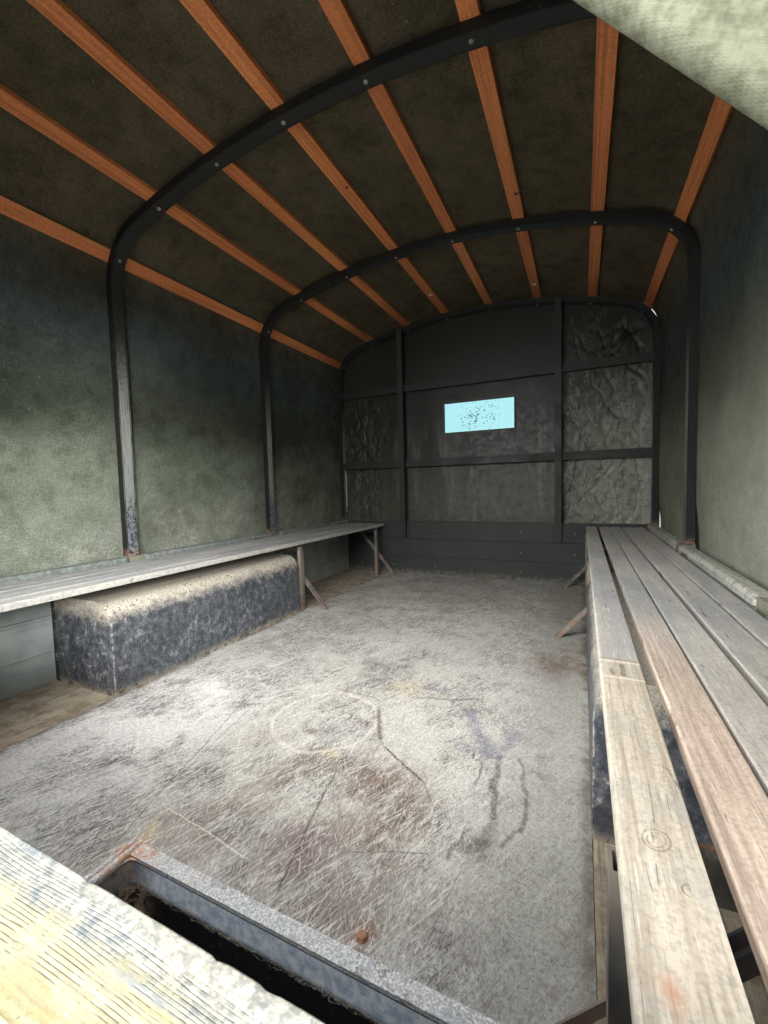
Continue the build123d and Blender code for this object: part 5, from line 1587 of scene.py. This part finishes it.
def fasten(name, body, finish, places, radius, tall, corners=6, ring=False):
    """Heads, or rings if ring is true, on every place. A place is a point and a direction."""
    piece = bare(name, [point for point, _ in places], facings=[way for _, way in places])
    tree = Repeater(name)
    radius = tree.ask("Radius", "Float", radius)
    tall = tree.ask("Height", "Float", tall)
    corners = tree.ask("Corners", "Int", corners)
    if ring:
        curves = []
        for around, size in ((corners, radius), (5, tall)):
            made = tree.add("GeometryNodeCurvePrimitiveCircle", {"Resolution": around, "Radius": size})
            curves.append(made.outputs[0])
        rim = {"Curve": curves[0], "Profile Curve": curves[1]}
        shape = tree.add("GeometryNodeCurveToMesh", rim).outputs[0]
    else:
        top = tree.add("ShaderNodeMath", {0: radius, 1: 0.72}, operation="MULTIPLY").outputs[0]
        sizes = {"Vertices": corners, "Radius Top": top, "Radius Bottom": radius, "Depth": tall}
        shape = tree.add("GeometryNodeMeshCone", sizes).outputs["Mesh"]
    facing = tree.add("GeometryNodeInputNamedAttribute", {"Name": "facing"}, data_type="FLOAT_VECTOR")
    facing = next(socket for socket in facing.outputs if socket.enabled)
    turn = tree.add("FunctionNodeAlignRotationToVector", {"Vector": facing}, axis="Z").outputs[0]
    spread = {2: 0.92, 3: 1.08, "Seed": tree.ask("Seed", "Int", 7)}
    size = tree.add("FunctionNodeRandomValue", spread, data_type="FLOAT").outputs[1]
    wanted = {"Points": tree.given.outputs["Geometry"], "Instance": shape, "Rotation": turn, "Scale": size}
    tree.place(piece, tree.add("GeometryNodeInstanceOnPoints", wanted).outputs[0], finish)
    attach(piece, body)


def stitch(name, body, finish, lines, pitch, long, thick):
    """A row of short threads along every line of points."""
    points, edges = [], []
    for line in lines:
        start = len(points)
        points += line
        edges += [(start + k, start + k + 1) for k in range(len(line) - 1)]
    piece = bare(name, points, edges)
    tree = Repeater(name)
    curve = tree.add("GeometryNodeMeshToCurve", {"Mesh": tree.given.outputs["Geometry"]}).outputs[0]
    wanted = {"Curve": curve, "Length": tree.ask("Pitch", "Float", pitch)}
    spots = tree.add("GeometryNodeCurveToPoints", wanted, mode="LENGTH")
    sizes = {"Vertices": 5, "Radius": tree.ask("Thread radius", "Float", thick)}
    sizes["Depth"] = tree.ask("Stitch", "Float", long)
    thread = tree.add("GeometryNodeMeshCylinder", sizes).outputs["Mesh"]
    wanted = {"Points": spots.outputs["Points"], "Instance": thread, "Rotation": spots.outputs["Rotation"]}
    tree.place(piece, tree.add("GeometryNodeInstanceOnPoints", wanted).outputs[0], finish)
    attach(piece, body)


# %% [markdown]
# A bolt under each hoop holds each batten. Bolts also go through the side planks into
# their straps, through the headboard and the tailgate, and through the hoop sockets. Small
# screws hold the slats. One old floor bolt near the step well has rusted.

# %% Bolts, screws and tags
bolt_paint = make_drab("bolt_paint", (112, 114, 106), (158, 154, 142), (104, 66, 44), 0.60)
rust_paint = make_drab("rust_paint", (120, 80, 58), (160, 120, 90), (76, 50, 40), 0.55)
tag_paint = make_drab("tag_paint", (206, 198, 178), (222, 216, 200), (150, 130, 100), 0.66)
UNDER_BATTEN = 0.0151
PLANK = (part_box("side_boards_left")[1].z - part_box("side_boards_left")[0].z) / 3
PLANK_Z = [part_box("side_boards_left")[0].z + PLANK * (k + 0.5) for k in range(3)]
BOARD_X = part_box("side_boards_right")[0].x
STRAP_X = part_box("side_board_straps")[1].x
SOCKET_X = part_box("hoop_sockets")[1].x
HEADBOARD_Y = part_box("headboard")[0].y
SLAT_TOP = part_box("bench_slats_right")[1].z
SLAT_X = (0.7235, 0.794, 0.8515, 0.918, 0.9775)
SUPPORT_Y = (-1.1155, 0.3525, 1.2785)
BAYS = [(low + 0.029, high - 0.031) for low, high in zip(HOOPS, HOOPS[1:])]  # clear of the sockets
STRAP_Y = [low + share * (high - low) for low, high in BAYS for share in (0.2, 0.8)]
GATE_X = (-0.80, -0.205, 0.205, 0.80)
TAG_UNDER = 0.0154

batten_bolts = []
for hoop in HOOPS:
    for run in BATTEN_RUNS:
        x, z, out_x, out_z = walk(run)
        place = (x - UNDER_BATTEN * out_x, hoop, z - UNDER_BATTEN * out_z)
        batten_bolts.append((place, (-out_x, 0, -out_z)))
fasten("batten_bolts", "bed", bolt_paint, batten_bolts, radius=0.0075, tall=0.0035)

board_bolts = []
for side in (-1, 1):
    out = (side, 0, 0)
    for y in STRAP_Y:
        pair = (y - 0.010, y + 0.010)
        board_bolts += [((side * BOARD_X, near, z), (-side, 0, 0)) for z in PLANK_Z for near in pair]
        board_bolts += [((side * STRAP_X, y, z - 0.02), out) for z in PLANK_Z[:2]]
    board_bolts += [((side * SOCKET_X, y, FLOOR + up), out) for y in HOOPS[1:3] for up in (0.03, 0.15)]
    for x in (0.30, 0.63, 0.90):
        board_bolts += [((side * x, HEADBOARD_Y, FLOOR + up), (0, -1, 0)) for up in (0.06, 0.19, 0.325)]
fasten("board_bolts", "bed", olive_paint, board_bolts, radius=0.0065, tall=0.0030, corners=8)

GATE_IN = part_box("tailgate_boards")[1].y
GATE_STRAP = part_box("tailgate_boards")[0].y - 0.0065
gate_bolts = [((x, GATE_IN, z), (0, 1, 0)) for x in GATE_X for z in PLANK_Z]
gate_bolts += [((x, GATE_STRAP, z), (0, -1, 0)) for x in GATE_X for z in PLANK_Z]
fasten("gate_bolts", "tailgate", olive_paint, gate_bolts, radius=0.0075, tall=0.0035)

for side, hand in ((1, "right"), (-1, "left")):
    screws = [((side * x, y, SLAT_TOP), (0, 0, 1)) for x in SLAT_X for y in SUPPORT_Y if y > 0 or x > 0.8]
    fasten(
        f"slat_screws_{hand}", f"bench_{hand}", rust_paint, screws,
        radius=0.0035, tall=0.0008, corners=8,
    )

old_bolt = [((0.381, -1.019, FLOOR), (0, 0, 1))]
fasten("floor_bolt", "bed", rust_paint, old_bolt, radius=0.0095, tall=0.0060)
tags = []
for run, y in ((BATTEN_RUNS[3], 1.081), (BATTEN_RUNS[5], 1.196)):
    x, z, out_x, out_z = walk(run)
    tags.append(((x + TAG_UNDER * out_x, y, z + TAG_UNDER * out_z), (-out_x, 0, -out_z)))
fasten("batten_tags", "bed", tag_paint, tags, radius=0.017, tall=0.0012, corners=4)

# %% [markdown]
# The hem of the cover is stitched twice and has an eyelet every 150 mm for its lashing.
# The front curtain has a sewn strip with three turn buttons, and two rows of stitches
# round the window. The stitches follow the cloth, since the same rules that shaped it give
# the lines that they run along.

# %% Eyelets, turn buttons and stitches
def make_plain(name, tint, rough):
    f = Finish(name)
    f.start(
        f.between(f.noise(120.0, 4.0, 0.7), 0.4, 0.6), tint,
        tuple(0.6 * v for v in screen(*tint)[:3]) + (1.0,),
    )
    return f.close(rough)


hole_shade = make_plain("eyelet_hole", (26, 26, 22), 0.95)
thread_drab = make_plain("thread_drab", (150, 148, 124), 0.95)
HEM_ROWS = (COVER_LOW.z + 0.012, COVER_LOW.z + 0.046)


def on_cover(side, y, z, out):
    """A point on the outside of the cover's drop, pushed out by a small distance."""
    run = side * (ROOF_RUN + BEND_RUN + BEND_Z - z)
    return (side * (HALF_SPREAD + cover_offset(run, y, z) + CLOTH / 2 + out), y, z)


def on_curtain(x, z, out):
    """A point on the inner side of the front curtain."""
    return (x, CURTAIN_Y + curtain_fold(x, z) - CLOTH / 2 - out, z)


eyelet_y = spaced([COVER_LOW.y + 0.05, COVER_HIGH.y - 0.05], 0.150)
EYELET_Z = sum(HEM_ROWS) / 2
eyelets = [(on_cover(side, y, EYELET_Z, 0.0006), (side, 0, 0)) for side in (-1, 1) for y in eyelet_y]
fasten(
    "hem_eyelets", "bed", pin_steel, eyelets, radius=0.0085, tall=0.0012, corners=12, ring=True,
)
# Painted shade: a dark disc in each eyelet stands for the shade in its hole; the cloth isn't cut.
fasten("eyelet_holes", "bed", hole_shade, eyelets, radius=0.0075, tall=0.0003, corners=10)
buttons = [(on_curtain(STRIP_X, z, 0.0), (0, -1, 0)) for z in BUTTONS_Z]
fasten("turn_buttons", "bed", bolt_paint, buttons, radius=0.010, tall=0.0060, corners=10)

hem_y = spaced([COVER_LOW.y + 0.006, COVER_HIGH.y - 0.006], 0.05)
seams = [[on_cover(side, y, z, 0.0003) for y in hem_y] for side in (-1, 1) for z in HEM_ROWS]
strip_z = spaced([STRIP_Z[0] + 0.012, STRIP_Z[1] - 0.012], 0.02)
seams += [[on_curtain(STRIP_X + shift, z, 0.0003) for z in strip_z] for shift in (-0.018, 0.018)]
for out in (0.006, 0.014):
    low_x, high_x = WINDOW_LOW.x - out, WINDOW_HIGH.x + out
    low_z, high_z = WINDOW_LOW.z - out, WINDOW_HIGH.z + out
    corners = [(low_x, low_z), (high_x, low_z), (high_x, high_z), (low_x, high_z), (low_x, low_z)]
    frame_line = []
    for (x0, z0), (x1, z1) in zip(corners, corners[1:]):
        frame_line += [(x0 + (x1 - x0) * k / 24, z0 + (z1 - z0) * k / 24) for k in range(24)]
    seams.append([on_curtain(x, z, 0.0003) for x, z in frame_line])
stitch("canvas_stitches", "bed", thread_drab, seams, pitch=0.0075, long=0.0048, thick=0.0006)

# %% [markdown]
# The studio floor is one large pale plane under the sills. It is stage, not part of the
# object.

# %% Studio floor
def make_stage():
    f = Finish("studio_floor")
    f.start(f.noise(0.7, 2.0), (226, 226, 224), (232, 232, 230))
    material = f.close(0.9)
    reach = 14.0
    mesh = bpy.data.meshes.new("studio_floor")
    corners = [(-reach, -reach, 0), (reach, -reach, 0), (reach, reach, 0), (-reach, reach, 0)]
    mesh.from_pydata(corners, [], [(0, 1, 2, 3)])
    mesh.materials.append(material)
    return add_object("studio_floor", mesh)


make_stage()
